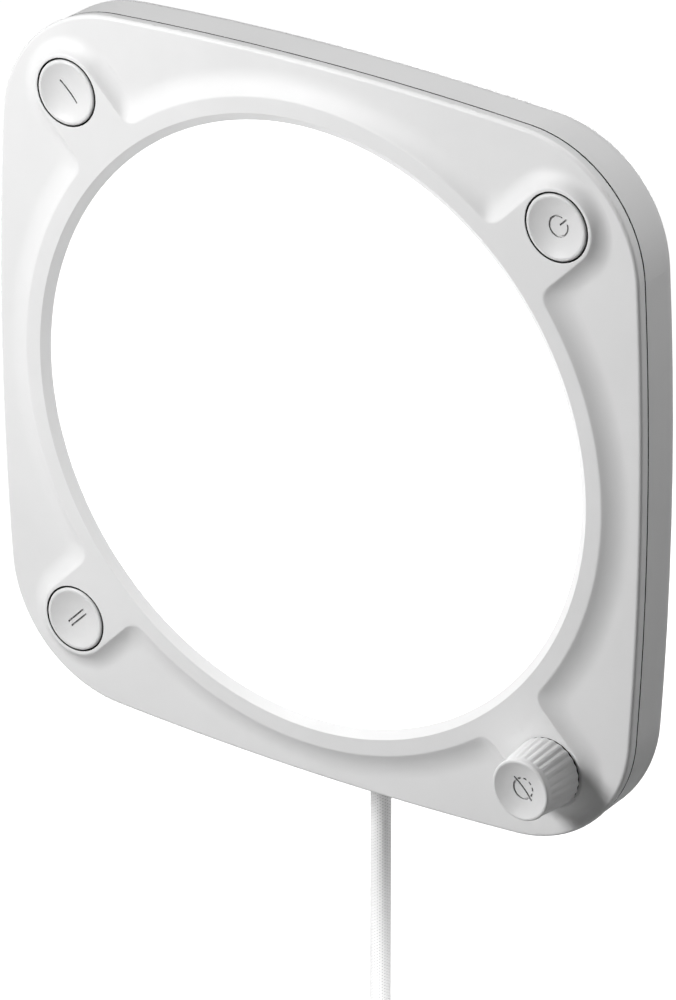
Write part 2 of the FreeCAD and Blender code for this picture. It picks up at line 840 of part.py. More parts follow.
def make_encoder_housing():
    x, z = controls["knob"]
    housing = block(encoder_side, encoder_side, encoder_top, control_board_depth, x, z, 45)
    cavity = disc(encoder_cavity_radius, encoder_top + encoder_wall, control_board_depth - encoder_wall, x, z)
    hole = disc(bush_radius, encoder_top - 1, encoder_top + encoder_wall + 1, x, z)
    return housing.cut(cavity).cut(hole)


def make_encoder_bush():
    """Bearing tube for the shaft, with a shoulder that holds it in the housing."""
    x, z = controls["knob"]
    bore = shaft_radius + shaft_running_clearance
    return tube(bush_radius, bore, bush_top, encoder_top + encoder_wall, x, z)


def make_encoder_shaft():
    x, z = controls["knob"]
    tip = knob_front + knob_wall + knob_dish_room()
    shaft = disc(shaft_radius, tip, rotor_back + push_gap(), x, z)
    flat_back = knob_back
    cutter = block(2 * shaft_radius, 2 * shaft_radius, tip - 1, flat_back, x, z + shaft_flat + shaft_radius)
    shaft = shaft.cut(cutter)
    return shaft.fuse(disc(rotor_radius, rotor_top, rotor_back, x, z)).removeSplitter()


def knob_dish_room():
    """Depth that the dish takes from the knob's front wall."""
    rim_radius = knob_front_radius - knob_rim_width
    return knob_dish_radius - math.sqrt(knob_dish_radius ** 2 - rim_radius ** 2)


def push_gap():
    """Length of shaft behind the rotor, which bears on the push disc."""
    return rotor_clearance


def make_push_disc():
    x, z = controls["knob"]
    front = rotor_back + push_gap()
    return disc(push_disc_radius, front, dome_top - knob_travel - dome_clearance, x, z)


def make_knob():
    x, z = controls["knob"]
    ribs_end = knob_front + knob_smooth_band
    knob = turned([(0, knob_back), (knob_base_radius, knob_back), (knob_front_radius, ribs_end),
                   (knob_front_radius, knob_front), (0, knob_front)], x, z)
    knob = knob.makeFillet(knob_edge_round, edges_at(knob, knob_front))
    knob = knob.cut(ball_dish(knob_dish_radius, knob_front_radius - knob_rim_width, knob_front, x, z))
    grooves = []
    half = math.pi * knob_base_radius / knob_rib_count * knob_groove_share
    for index in range(knob_rib_count):
        rings = []
        for radius, depth in ((knob_base_radius, knob_back + knob_groove_start),
                              (knob_front_radius, ribs_end)):
            inner = radius - knob_groove_depth
            outer = radius + knob_groove_depth
            share = radius / knob_base_radius
            corners = [V(x + inner, at(depth), z), V(x + outer, at(depth), z + 2 * half * share),
                       V(x + outer, at(depth), z - 2 * half * share)]
            rings.append(Part.makePolygon(corners + corners[:1]))
        groove = Part.makeLoft(rings, True, True)
        # A quarter pitch turns the ribs to where they stand in the rest position
        groove.rotate(V(x, 0, z), FRONT_TO_BACK, -360.0 * (index + 0.25) / knob_rib_count)
        grooves.append(groove)
    knob = knob.cut(grooves)
    hollow_front = knob_front + knob_wall + knob_dish_room()
    knob = knob.cut(tube(knob_front_radius - knob_wall, knob_boss_radius, hollow_front, knob_back + 1, x, z))
    knob = knob.cut(shaft_socket(x, z, hollow_front))
    return knob.cut(knob_symbols(x, z))


def shaft_socket(x, z, front):
    """D-shaped hole that grips the shaft, and the mouth that clears the bush."""
    bore = shaft_radius + shaft_fit_clearance
    socket = disc(bore, front, knob_back + 1, x, z)
    flat = block(2 * bore, 2 * bore, front - 1, knob_back, x, z + shaft_flat + shaft_fit_clearance + bore)
    return socket.cut(flat)


def knob_symbols(x, z):
    """Circle split by a slash: a plain half and a half of short dashes."""
    front = knob_front - 1
    back = knob_front + knob_dish_room() + symbol_depth
    radius = level_symbol_radius
    first = falling_line + level_gap_angle
    symbols = [line_symbol(x, z, level_line_length, falling_line, front, back),
               arc_symbol(x, z, radius, first, falling_line + 180 - level_gap_angle, front, back)]
    # The rays are spread over the other half
    step = (180 - 2 * level_gap_angle - level_ray_angle) / (level_ray_count - 1)
    for index in range(level_ray_count):
        start = falling_line - 180 + level_gap_angle + index * step
        symbols.append(arc_symbol(x, z, radius, start, start + level_ray_angle, front, back))
    return symbols


def make_power_board():
    board = tube(power_board_radius, power_board_hole, power_board_front, power_board_back)
    return board.cut([disc(screw_radius + screw_hole_clearance, power_board_front - 1, power_board_back + 1, *place)
                      for place in hub_screw_places])


def hollow_bar(width, thickness, wall, low, high, x, y):
    """Upright tube with round edges, such as a plug's or socket's shell."""
    outer = upright_bar(width, thickness, thickness / 2, low, high, x, y)
    inner = upright_bar(width - 2 * wall, thickness - 2 * wall, thickness / 2 - wall, low - 1, high + 1, x, y)
    return outer.cut(inner)


def make_socket_shell():
    return hollow_bar(socket_width, socket_thickness, socket_wall, socket_face, socket_face + socket_length, 0, cord_y)


def make_socket_tongue():
    back_low = socket_face + socket_length - socket_back
    inner_width = socket_width - 2 * socket_wall - 2 * thread_clearance
    inner_thickness = socket_thickness - 2 * socket_wall - 2 * thread_clearance
    back = upright_bar(inner_width, inner_thickness, inner_thickness / 2, back_low,
                       back_low + socket_back, 0, cord_y)
    tongue = upright_bar(tongue_width, tongue_thickness, tongue_thickness / 3, back_low - tongue_reach,
                         back_low, 0, cord_y)
    return back.fuse(tongue).removeSplitter()


def make_power_parts():
    """Coils, capacitors and chips behind the power board."""
    inductors = [block(inductor_side, inductor_side, power_board_back, power_board_back + inductor_height,
                       side * inductor_x, inductor_z) for side in (-1, 1)]
    capacitors = [disc(capacitor_radius, power_board_back, power_board_back + capacitor_height,
                       index * capacitor_pitch, capacitor_z) for index in (-1, 0, 1)]
    chips = [block(chip_length, chip_width, power_board_back, power_board_back + chip_height,
                   side * inductor_x, driver_chip_z) for side in (-1, 1)]
    return inductors, capacitors, chips


def make_controller_chip():
    x, z = controls["preset_one"]
    return block(controller_side, controller_side, control_board_back, control_board_back + chip_height, x, z)


def make_connectors():
    front = power_board_front - connector_height
    connectors = [block(connector_width, connector_depth, front, power_board_front, side * ribbon_spacing,
                        cable_column) for side in (-1, 1)]
    connectors.append(block(connector_width, connector_depth, control_board_back,
                            spreader_back + ribbon_lift, ribbon_spacing, control_connector_z))
    return Part.makeCompound(connectors)


def make_led_cable():
    """Flat cable from the back of the LED board to the power board."""
    return block(ribbon_width, ribbon_thickness, led_board_back, power_board_front - connector_height,
                 -ribbon_spacing, cable_column)


def make_control_cable():
    """Flat cable along the back of the heat spreader, then back into the hub."""
    low = spreader_back + ribbon_lift
    run = cable_column - control_connector_z + ribbon_thickness / 2
    flat = block(ribbon_width, run, low, low + ribbon_thickness, ribbon_spacing, control_connector_z + run / 2)
    rise = block(ribbon_width, ribbon_thickness, low, power_board_front - connector_height,
                 ribbon_spacing, cable_column)
    return flat.fuse(rise).removeSplitter()


def make_device_plug_shell():
    low = socket_face - plug_gap
    return hollow_bar(plug_shell_width, plug_shell_thickness, plug_shell_wall, low, socket_face + plug_insertion,
                      0, cord_y)


def rounded_bar(width, thickness, corner, low, high, x, y, turned_width=False):
    """Overmould with every edge rounded."""
    if turned_width:
        width, thickness = thickness, width
    bar = Part.makeBox(width, thickness, high - low, V(x - width / 2, y - thickness / 2, low))
    return bar.makeFillet(corner, bar.Edges)


def strain_relief(high, low, top_radius, end_radius, x, y, rings):
    """Tapered sleeve with grooves round it, which the cord leaves at the bottom."""
    sleeve = Part.makeCone(end_radius, top_radius, high - low, V(x, y, low), UP)
    pitch = (high - low) / (rings + 1)
    for index in range(rings):
        middle = low + pitch * (index + 1)
        sleeve_radius = end_radius + (top_radius - end_radius) * (middle - low) / (high - low)
        groove = Part.makeCylinder(top_radius + 1, relief_ring_width, V(x, y, middle - relief_ring_width / 2), UP)
        core = Part.makeCylinder(sleeve_radius - relief_ring_depth, relief_ring_width,
                                 V(x, y, middle - relief_ring_width / 2), UP)
        sleeve = sleeve.cut(groove.cut(core))
    return sleeve


def make_device_overmould():
    high = socket_face - plug_gap
    return rounded_bar(overmould_width, overmould_thickness, overmould_round, high - overmould_length, high,
                       0, cord_y)


def make_device_relief():
    high = socket_face - plug_gap - overmould_length
    return strain_relief(high, relief_end_z, relief_top_radius, relief_end_radius, 0, cord_y, relief_ring_count)


def heading(angle_from_down):
    """Unit vector in the hanging plane, swung to the left of straight down."""
    turn = math.radians(angle_from_down)
    return V(-math.sin(turn), 0, -math.cos(turn))


def cord_route():
    """Hand-set corners of the free stretch: straight down, then two small turns to the coil."""
    first = V(0, cord_y, relief_end_z)
    upper = V(0, cord_y, cord_bend_z)
    lower = upper + heading(cord_bend_angle) * cord_upper_run
    last = lower + heading(2 * cord_bend_angle) * cord_lower_run
    return [first, upper, lower, last]


def rounded_path(points):
    """Straight runs joined by tangent arcs, and the arcs' radii."""
    edges = []
    radii = []
    here = points[0]
    for before, corner, after in zip(points, points[1:], points[2:]):
        run_in = (corner - before).normalize()
        run_out = (after - corner).normalize()
        reach = 0.45 * min((corner - before).Length, (after - corner).Length)
        half_turn = run_in.getAngle(run_out) / 2
        radius = reach / math.tan(half_turn)
        start = corner - run_in * reach
        end = corner + run_out * reach
        bisector = (run_out - run_in).normalize()
        middle = corner + bisector * (radius / math.cos(half_turn) - radius)
        edges.append(Part.LineSegment(here, start).toShape())
        edges.append(Part.Arc(start, middle, end).toShape())
        radii.append(radius)
        here = end
    edges.append(Part.LineSegment(here, points[-1]).toShape())
    return Part.Wire(edges), radii


def sweep_round(path, radius):
    """Round tube along a path, and its volume as a share of section times length."""
    start = path.Edges[0].valueAt(path.Edges[0].FirstParameter)
    direction = path.Edges[0].tangentAt(path.Edges[0].FirstParameter)
    profile = Part.Wire([Part.makeCircle(radius, start, direction)])
    body = path.makePipeShell([profile], True, False)
    share = body.Volume / (math.pi * radius ** 2 * path.Length)
    return body, share


def make_power_cord():
    path, radii = rounded_path(cord_route())
    body, share = sweep_round(path, cord_radius)
    print("cord arcs", [round(radius, 1) for radius in radii], "least allowed", 5 * cord_diameter)
    print("cord length", round(path.Length, 1), "volume share", round(share, 4))
    return body


def coil_centre():
    """Centre of the coil's first layer, placed so that its entry meets the end of the free stretch."""
    turn = math.radians(coil_entry_angle)
    entry = cord_route()[-1] + coil_start_direction() * cord_diameter
    return entry - V(math.cos(turn), 0, math.sin(turn)) * coil_outer_radius


def coil_start_direction():
    turn = math.radians(coil_entry_angle)
    return V(-math.sin(turn), 0, math.cos(turn))


def coil_station(travel):
    """Point and direction on the coil after so many turns from its entry.

    The radius falls and rises at a steady rate, one pitch a turn, and reverses between layers.
    The coil climbs to its next layer in the half turn about each reversal."""
    leg = turns_per_layer
    layer = min(int(travel / leg + 1e-9), coil_layer_count - 1)
    into = travel - layer * leg
    inward = layer % 2 == 0
    radius = coil_outer_radius - coil_pitch * (into if inward else leg - into)
    slope = -coil_pitch if inward else coil_pitch
    nearest = min(max(round(travel / leg), 1), coil_layer_count - 1)
    from_reversal = travel - nearest * leg
    if abs(from_reversal) < 1e-6 or travel < 1e-6 or coil_turn_count - travel < 1e-6:
        slope = 0.0
    rise_rate = 0.0
    share = from_reversal / 0.5 + 0.5
    if share <= 1e-6:
        level = nearest - 1
    elif share >= 1 - 1e-6:
        level = nearest
    else:
        level = nearest - 1 + share - math.sin(2 * math.pi * share) / (2 * math.pi)
        rise_rate = (1 - math.cos(2 * math.pi * share)) / 0.5
    turn = math.radians(coil_entry_angle) + 2 * math.pi * travel
    outward = V(math.cos(turn), 0, math.sin(turn))
    along = V(-math.sin(turn), 0, math.cos(turn))
    point = coil_centre() + outward * radius + V(0, -coil_pitch * level, 0)
    direction = along * (2 * math.pi * radius) + outward * slope + V(0, -coil_pitch * rise_rate, 0)
    return point, direction.normalize()


def coil_travels():
    """Turns travelled at each station: about a quarter turn apart, and at each climb's ends and middle."""
    marks = [0.0]
    for reversal in range(1, coil_layer_count):
        middle = reversal * turns_per_layer
        marks += [middle - 0.25, middle, middle + 0.25]
    marks.append(coil_turn_count)
    travels = [marks[0]]
    for low, high in zip(marks, marks[1:]):
        pieces = math.ceil((high - low) / 0.25 - 1e-6)
        travels += [low + (high - low) * (step + 1) / pieces for step in range(pieces)]
    return travels


def arc_from(start, direction, end):
    """Arc from a point along a direction to another point."""
    chord = end - start
    across = chord - direction * chord.dot(direction)
    radius = chord.dot(chord) / (2 * across.Length)
    centre = start + across.normalize() * radius
    middle = centre + ((start - centre) + (end - centre)).normalize() * radius
    return Part.Arc(start, middle, end).toShape(), radius


def two_arcs(start, start_direction, end, end_direction):
    """Two arcs that join two points and keep the direction at both."""
    chord = end - start
    total = start_direction + end_direction
    dot = start_direction.dot(end_direction)
    reach = (math.sqrt(chord.dot(total) ** 2 + 2 * (1 - dot) * chord.dot(chord)) - chord.dot(total)) / (2 * (1 - dot))
    middle = (start + start_direction * reach + end - end_direction * reach) * 0.5
    first, first_radius = arc_from(start, start_direction, middle)
    second, second_radius = arc_from(end, end_direction * -1, middle)
    back = Part.Arc(second.valueAt(second.LastParameter),
                    second.valueAt((second.FirstParameter + second.LastParameter) / 2),
                    second.valueAt(second.FirstParameter)).toShape()
    return [first, back], min(first_radius, second_radius)


def least_gap(points, steps, diameter, apart):
    """Least gap of a tube to itself, between points that lie further apart along it than a given length."""
    least = 1e9
    skip = int(apart / steps)
    for index, point in enumerate(points):
        for other in points[index + skip:]:
            least = min(least, point.distanceToPoint(other))
    return least - diameter


def make_cord_coil():
    stations = [coil_station(travel) for travel in coil_travels()]
    entry, entry_direction = stations[0]
    exit_point, exit_direction = stations[-1]
    edges = [Part.LineSegment(entry - entry_direction * cord_diameter, entry).toShape()]
    tightest = 1e9
    for (start, start_direction), (end, end_direction) in zip(stations, stations[1:]):
        pair, radius = two_arcs(start, start_direction, end, end_direction)
        edges += pair
        tightest = min(tightest, radius)
    edges.append(Part.LineSegment(exit_point, exit_point + exit_direction * coil_tail).toShape())
    path = Part.Wire(edges)
    body, share = sweep_round(path, cord_radius)
    step = 1.5
    points = path.discretize(Distance=step)
    gap = least_gap(points, step, cord_diameter, 3 * cord_diameter)
    print("coil length", round(path.Length, 1), "turns", round(coil_turn_count, 2),
          "tightest radius", round(tightest, 1), "volume share", round(share, 4), "least gap", round(gap, 2))
    return body


def tail_end():
    """Lower end of the coil's straight tail, and its direction."""
    point, direction = coil_station(coil_turn_count)
    return point + direction * coil_tail, direction


def make_coil_tie():
    """Flat strap round the top of all the turns."""
    centre = coil_centre()
    inner_radius = coil_outer_radius - coil_pitch * turns_per_layer
    half = tie_width / 2
    room = cord_radius + tie_clearance
    low = math.sqrt(inner_radius ** 2 - half ** 2) - room
    high = coil_outer_radius + room
    deep = coil_pitch * (coil_layer_count - 1) + 2 * room
    middle = V(centre.x - half, centre.y - coil_pitch * (coil_layer_count - 1) / 2, centre.z + (low + high) / 2)

    def strap(grow):
        outline = rounded_rectangle(deep + grow, high - low + grow, tie_corner_round - tie_thickness + grow / 2,
                                    lambda u, v: middle + V(0, u, v))
        return Part.Face(outline).extrude(V(tie_width, 0, 0))

    return strap(2 * tie_thickness).cut(strap(0))


def far_levels():
    """Heights of the far plug's joints, from the coil's tail down."""
    top = tail_end()[0].z
    relief = top - far_relief_length
    overmould = relief - far_overmould_length
    return top, relief, overmould, overmould - far_shell_length


def make_far_relief():
    end = tail_end()[0]
    top, relief = far_levels()[:2]
    return strain_relief(top, relief, relief_end_radius, far_relief_top_radius, end.x, end.y, relief_ring_count - 1)


def make_far_overmould():
    end = tail_end()[0]
    high, low = far_levels()[1:3]
    return rounded_bar(far_overmould_width, far_overmould_thickness, overmould_round, low, high, end.x, end.y, True)


def make_far_shell():
    end = tail_end()[0]
    high, low = far_levels()[2:4]
    outer = Part.makeBox(far_shell_thickness, far_shell_width, high - low,
                         V(end.x - far_shell_thickness / 2, end.y - far_shell_width / 2, low))
    wall = far_shell_wall
    inner = Part.makeBox(far_shell_thickness - 2 * wall, far_shell_width - 2 * wall, high - low + 2,
                         V(end.x - far_shell_thickness / 2 + wall, end.y - far_shell_width / 2 + wall, low - 1))
    return outer.cut(inner)


def make_far_insert():
    """Contact carrier on one side inside the far plug's shell."""
    end = tail_end()[0]
    high, low = far_levels()[2:4]
    room = far_shell_wall + thread_clearance
    return Part.makeBox(far_insert_thickness, far_shell_width - 2 * room, high - low - far_insert_recess,
                        V(end.x - far_shell_thickness / 2 + room, end.y - far_shell_width / 2 + room,
                          low + far_insert_recess))


def build():
    """Every node's shape, by name."""
    inductors, capacitors, chips = make_power_parts()
    nodes = {
        "front_bezel": make_front_bezel(),
        "rear_shell": make_rear_shell(),
        "hub_cover": make_hub_cover(),
        "thread_insert": make_thread_insert(),
        "case_screws": Part.makeCompound([screw(x, z, case_screw_seat, case_screw_length)
                                          for x, z in case_screw_places]),
        "hub_screws": Part.makeCompound([screw(x, z, hub_screw_seat, hub_screw_seat - case_depth - hub_screw_end_wall)
                                         for x, z in hub_screw_places]),
        "diffuser": make_diffuser(),
        "diffuser_gasket": make_gasket(),
        "reflector_ring": make_reflector_ring(),
        "reflector_sheet": make_reflector_sheet(),
        "led_board": plate_with_screw_holes(led_board_radius, led_board_depth, led_board_back, False),
        "cool_leds": make_leds(0),
        "warm_leds": make_leds(1),
        "thermal_pad": plate_with_screw_holes(led_board_radius, led_board_back, pad_back, True),
        "heat_spreader": plate_with_screw_holes(led_board_radius, pad_back, spreader_back, True),
        "spreader_screws": Part.makeCompound([screw(x, z, led_board_depth, spreader_screw_length, False)
                                              for x, z in spreader_screw_places]),
        "control_board": make_control_board(),
        "control_board_screws": Part.makeCompound([screw(x, z, control_board_back, board_screw_length)
                                                   for x, z in board_screw_places]),
        "controller_chip": make_controller_chip(),
        "snap_domes": make_snap_domes(),
        "encoder_housing": make_encoder_housing(),
        "encoder_bush": make_encoder_bush(),
        "encoder_shaft": make_encoder_shaft(),
        "encoder_push_disc": make_push_disc(),
        "brightness_knob": make_knob(),
        "power_board": make_power_board(),
        "usb_socket_shell": make_socket_shell(),
        "usb_socket_tongue": make_socket_tongue(),
        "inductors": Part.makeCompound(inductors),
        "capacitors": Part.makeCompound(capacitors),
        "driver_chips": Part.makeCompound(chips),
        "cable_connectors": make_connectors(),
        "led_cable": make_led_cable(),
        "control_cable": make_control_cable(),
        "device_plug_shell": make_device_plug_shell(),
        "device_plug_overmould": make_device_overmould(),
        "device_strain_relief": make_device_relief(),
        "power_cord": make_power_cord(),
        "cord_coil": make_cord_coil(),
        "coil_tie": make_coil_tie(),
        "far_strain_relief": make_far_relief(),
        "far_plug_overmould": make_far_overmould(),
        "far_plug_shell": make_far_shell(),
        "far_plug_insert": make_far_insert(),
    }
    for name in buttons:
        nodes[name + "_cap"] = make_cap(name)
        nodes[name + "_switch_housing"] = make_switch_housing(name)
        nodes[name + "_switch_plunger"] = make_switch_plunger(name)
    return nodes


def main():
    os.makedirs("parts", exist_ok=True)
    for name, shape in build().items():
        if not shape.isValid() or not shape.Solids:
            print("not a valid solid:", name)
        shape.exportStep("parts/" + name + ".step")


main()
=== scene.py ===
import json
import math

import bmesh
import bpy
import numpy as np
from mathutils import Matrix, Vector
from mathutils.geometry import delaunay_2d_cdt


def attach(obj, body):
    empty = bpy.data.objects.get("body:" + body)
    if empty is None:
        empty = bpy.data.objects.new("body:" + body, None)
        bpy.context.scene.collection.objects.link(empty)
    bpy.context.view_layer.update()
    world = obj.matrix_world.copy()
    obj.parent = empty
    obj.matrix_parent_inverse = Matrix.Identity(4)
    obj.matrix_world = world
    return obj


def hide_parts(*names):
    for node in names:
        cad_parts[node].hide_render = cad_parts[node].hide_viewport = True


# Square LED video light panel. It stands upright and looks towards -Y, and the back of its hub is at Y = 0.
# Outlines and profiles are written as (x, depth, z), where depth is measured back from the raised ring.
# Sizes are in millimetres and turned into metres where they are used, unless a comment says otherwise.

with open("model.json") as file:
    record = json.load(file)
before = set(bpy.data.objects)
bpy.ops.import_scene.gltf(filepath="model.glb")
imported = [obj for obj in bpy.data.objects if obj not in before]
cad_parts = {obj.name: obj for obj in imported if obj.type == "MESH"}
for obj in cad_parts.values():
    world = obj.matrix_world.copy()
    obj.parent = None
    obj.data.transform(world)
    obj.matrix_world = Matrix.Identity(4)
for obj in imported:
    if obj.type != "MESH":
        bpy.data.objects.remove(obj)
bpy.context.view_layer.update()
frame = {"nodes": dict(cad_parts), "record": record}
nodes = frame["nodes"]

TOTAL_DEPTH = 32.0

# Outline of the bezel, a square with bulging sides. The corner's centre follows from the other three.
PANEL_HALF = 70.55
SIDE_BULGE_RADIUS = 700.0
CORNER_RADIUS = 26.0
CORNER_CENTRE = 43.166

# Section through the bezel's edge. The side narrows by its draft on the way to the seam.
VALLEY_DEPTH = 1.65
INNER_FACE = 3.5
FRONT_EDGE_ROUND = 0.8
FRONT_EDGE_INSET = 0.03
SIDE_END = 4.05
SIDE_DRAFT = 0.3
SIDE_END_ROUND = 0.06
SIDE_END_ROUND_INSET = 0.294
SIDE_WALL = 1.2
SEAM_GAP = 0.3

# Window: a fine edge round, a bevel to the back edge, then the diffuser's seat and the collar round it
WINDOW_RADIUS = 60.0
WINDOW_EDGE_ROUND = 0.12
WINDOW_EDGE_INSET = 0.05
WINDOW_BACK_RADIUS = 58.4
WINDOW_BEVEL_END = 1.15
DIFFUSER_DEPTH = 1.35
SEAT_RADIUS = 60.95
COLLAR_RADIUS = 62.45
COLLAR_END = 8.0

# Raised ring and its arms. A flank is the width over which the surface falls to the valley.
RING_OUTER_RADIUS = 63.2
RING_FLANK = 5.2
ARM_HALF_WIDTH = 7.2
ARM_FLANK = 4.1
ARM_END_FLANK = 3.1
# Shares of a flank: the soft blend between two flanks, and the round on the plateau's edge
NOTCH_BLEND = 0.65
PLATEAU_EDGE_SHARE = 0.05

# Controls, with the signs of x and z of each button's place
CONTROL_OFFSET = 53.0
BUTTON_CORNERS = ((-1, 1), (1, 1), (-1, -1))
CAP_RADIUS = 6.28
CAP_HOLE_RADIUS = 6.58
KNOB_HOLE_RADIUS = 3.84
HOLE_EDGE_ROUND = 0.1

# Guides behind the button holes, and how far their walls reach into the bezel
GUIDE_STOP = 4.4
GUIDE_END = 5.8
GUIDE_INNER_RADIUS = 7.6
GUIDE_OUTER_RADIUS = 8.55
GUIDE_SLOT_WIDTH = 2.6
GUIDE_ROOT = 0.4

# Screw bosses. Each row holds a boss's distance across and up from the panel's middle, and its end.
BOSS_RADIUS = 2.6
BOSS_BORE_RADIUS = 1.25
BOSS_ROOT = 0.5
BOSS_BORE_ROOT = 0.05
BOSSES = ((62.5, 30.0, 11.4), (30.0, 62.5, 11.4), (57.5, 41.0, 9.0))

# Room for rounding where a face is tested against an edge, and where the painted shade of a gap ends at a
# wall. The wider room at the holes in the plateau leaves some slivers inside their rims, each under 0.01
# wide.
EDGE_MARGIN = 0.001
PLATEAU_HOLE_MARGIN = 0.01
SHADE_MARGIN = 0.01

# Points on the bezel's curves: a side and a corner of its outline, an edge round and a guide from end to end,
# and the rest once round. The plateau's edge is walked in steps of so many millimetres.
SIDE_POINTS = 40
CORNER_POINTS = 25
ROUND_POINTS = 6
GUIDE_POINTS = 49
WINDOW_POINTS = 256
BUTTON_HOLE_POINTS = 128
KNOB_HOLE_POINTS = 96
BOSS_POINTS = 32
PLATEAU_EDGE_STEP = 0.5
FLANK_STEPS = 12

# Painted shade on the controls. Each dish has its ball's radius, its rim's radius and its rim's depth.
DISHES = ((14.5, 5.58, -0.2), (12.0, 5.4, -9.3))
DISH_RIM_MARGIN = 0.1
# Depths under a dish between which its engraved symbol gets painted shade
SYMBOL_DEPTHS = (0.05, 0.35)
SYMBOL_SHADE = 0.6
# Depth behind which a button's side gets painted shade, and how far inside its edge that begins
CAP_SHADE_START = 0.1
CAP_SHADE_INSET = 0.05
# Radius of the painted shade on the bezel's face behind the knob
KNOB_SHADE_RADIUS = 6.52

# Cord. Its route goes from the socket to the coil, round the coil, and on to the plug.
CORD_DIAMETER = 3.9
CORD_Y = -8.2
ROUTE_TO_COIL = ((0, CORD_Y, -62), (0, CORD_Y, -120), (0, CORD_Y, -140), (-7.654, CORD_Y, -158.478),
                 (-16.776, CORD_Y, -167.6))
ROUTE_TO_PLUG = ((-27.62, -21.55, -195.87), (-27.62, -21.55, -201.87))

# Put-away coil, wound in layers that run inwards and outwards in turn. Its start angle is in degrees.
COIL_TURNS = 10.125
COIL_LAYERS = 4
COIL_RADIUS = 27.6
COIL_PITCH = 4.45
COIL_X = -0.018
COIL_Z = -189.87
COIL_START_ANGLE = 135.0
COIL_POINTS_PER_TURN = 24
# Turns over which the cord climbs from one layer to the next
COIL_CLIMB_TURNS = 0.5

# Braid, in metres. A strand's height is 0 in the corners between strands and 1 on top.
BRAID_AROUND = 12
BRAID_PITCH = 0.00064
BRAID_RELIEF = 0.0001
BRAID_MEAN_HEIGHT = 0.64
# Heights between which the painted shade in the corners fades away
BRAID_GAP_HEIGHTS = (0.1, 0.36)
BRAID_GAP_SHADE = 0.9
# The part of the cord with a modelled braid, and the spacing of the mesh along it and along the coil
HANGING_LENGTH = 0.085
HANGING_SPACING = 0.0001
COIL_SPACING = 0.0012
# Points round the hanging cord, and how many times fewer the coil has
POINTS_AROUND_CORD = 72
COIL_POINT_SHARE = 3

# Camera, in degrees, millimetres of lens and sensor, and metres
CAMERA_AZIMUTH = 35.09
CAMERA_ELEVATION = 25.62
CAMERA_LENS = 268.8
CAMERA_SENSOR = 36.0
CAMERA_TARGET = (0.0069, -0.032, -0.01192)
CAMERA_DISTANCE = 1.343

# Soft round lamps: where each stands, seen from the middle of the raised ring, and its power in watts
LAMPS = (
    ("main_lamp", (-0.50, -0.75, 0.42), 3.7),
    ("upper_right_lamp", (0.38, 0.32, 0.87), 1.8),
    ("right_lamp", (0.95, 0.25, 0.15), 0.3),
    ("back_lamp", (-0.35, 0.93, -0.08), 1.3),
)
LAMP_METRES_AWAY = 0.6
LAMP_METRES_WIDE = 0.24

# Narrow beams that make the hanging cord fade to white as it goes down: where each stands and the height that
# it points at, in metres, its power in watts and its width in degrees
CORD_LAMPS = (
    ("cord_left_lamp", (-0.16, -0.26, -0.20), -0.122, 0.35, 24),
    ("cord_right_lamp", (0.22, -0.21, -0.22), -0.148, 3.2, 20),
)
CORD_LAMP_METRES_WIDE = 0.02

# Faint light of the room, the floor's place and size, and the white that it adds for the camera alone
ROOM_LIGHT = 0.015
FLOOR_LEVEL = -270.0
FLOOR_REACH = 1500.0
FLOOR_LIFT = 0.97

# Sizes, in metres, of the patches in which a surface's colour and roughness vary
COLOUR_PATCH = 0.02
ROUGHNESS_PATCH = 0.006

# How far a surface's roughness goes either way, as a share of it
ROUGHNESS_SPREAD = 0.1

GLOW_STRENGTH = 1.3

WHITE = (1.0, 1.0, 1.0, 1.0)
NEAR_BLACK = (0.05, 0.05, 0.05, 1.0)


# Shared helpers

def metres(point):
    return tuple(value / 1000 for value in point)


def add_object(name, data):
    added = bpy.data.objects.new(name, data)
    bpy.context.scene.collection.objects.link(added)
    return added


def add_looking(name, data, place, back):
    """Adds a camera or lamp that looks away from the direction called back."""
    added = add_object(name, data)
    added.location = place
    added.rotation_euler = back.to_track_quat("Z", "Y").to_euler()
    return added


def circle(radius, depth, count, x, z):
    turns = [2 * math.pi * index / count for index in range(count)]
    return [(x + radius * math.cos(turn), depth, z + radius * math.sin(turn)) for turn in turns]


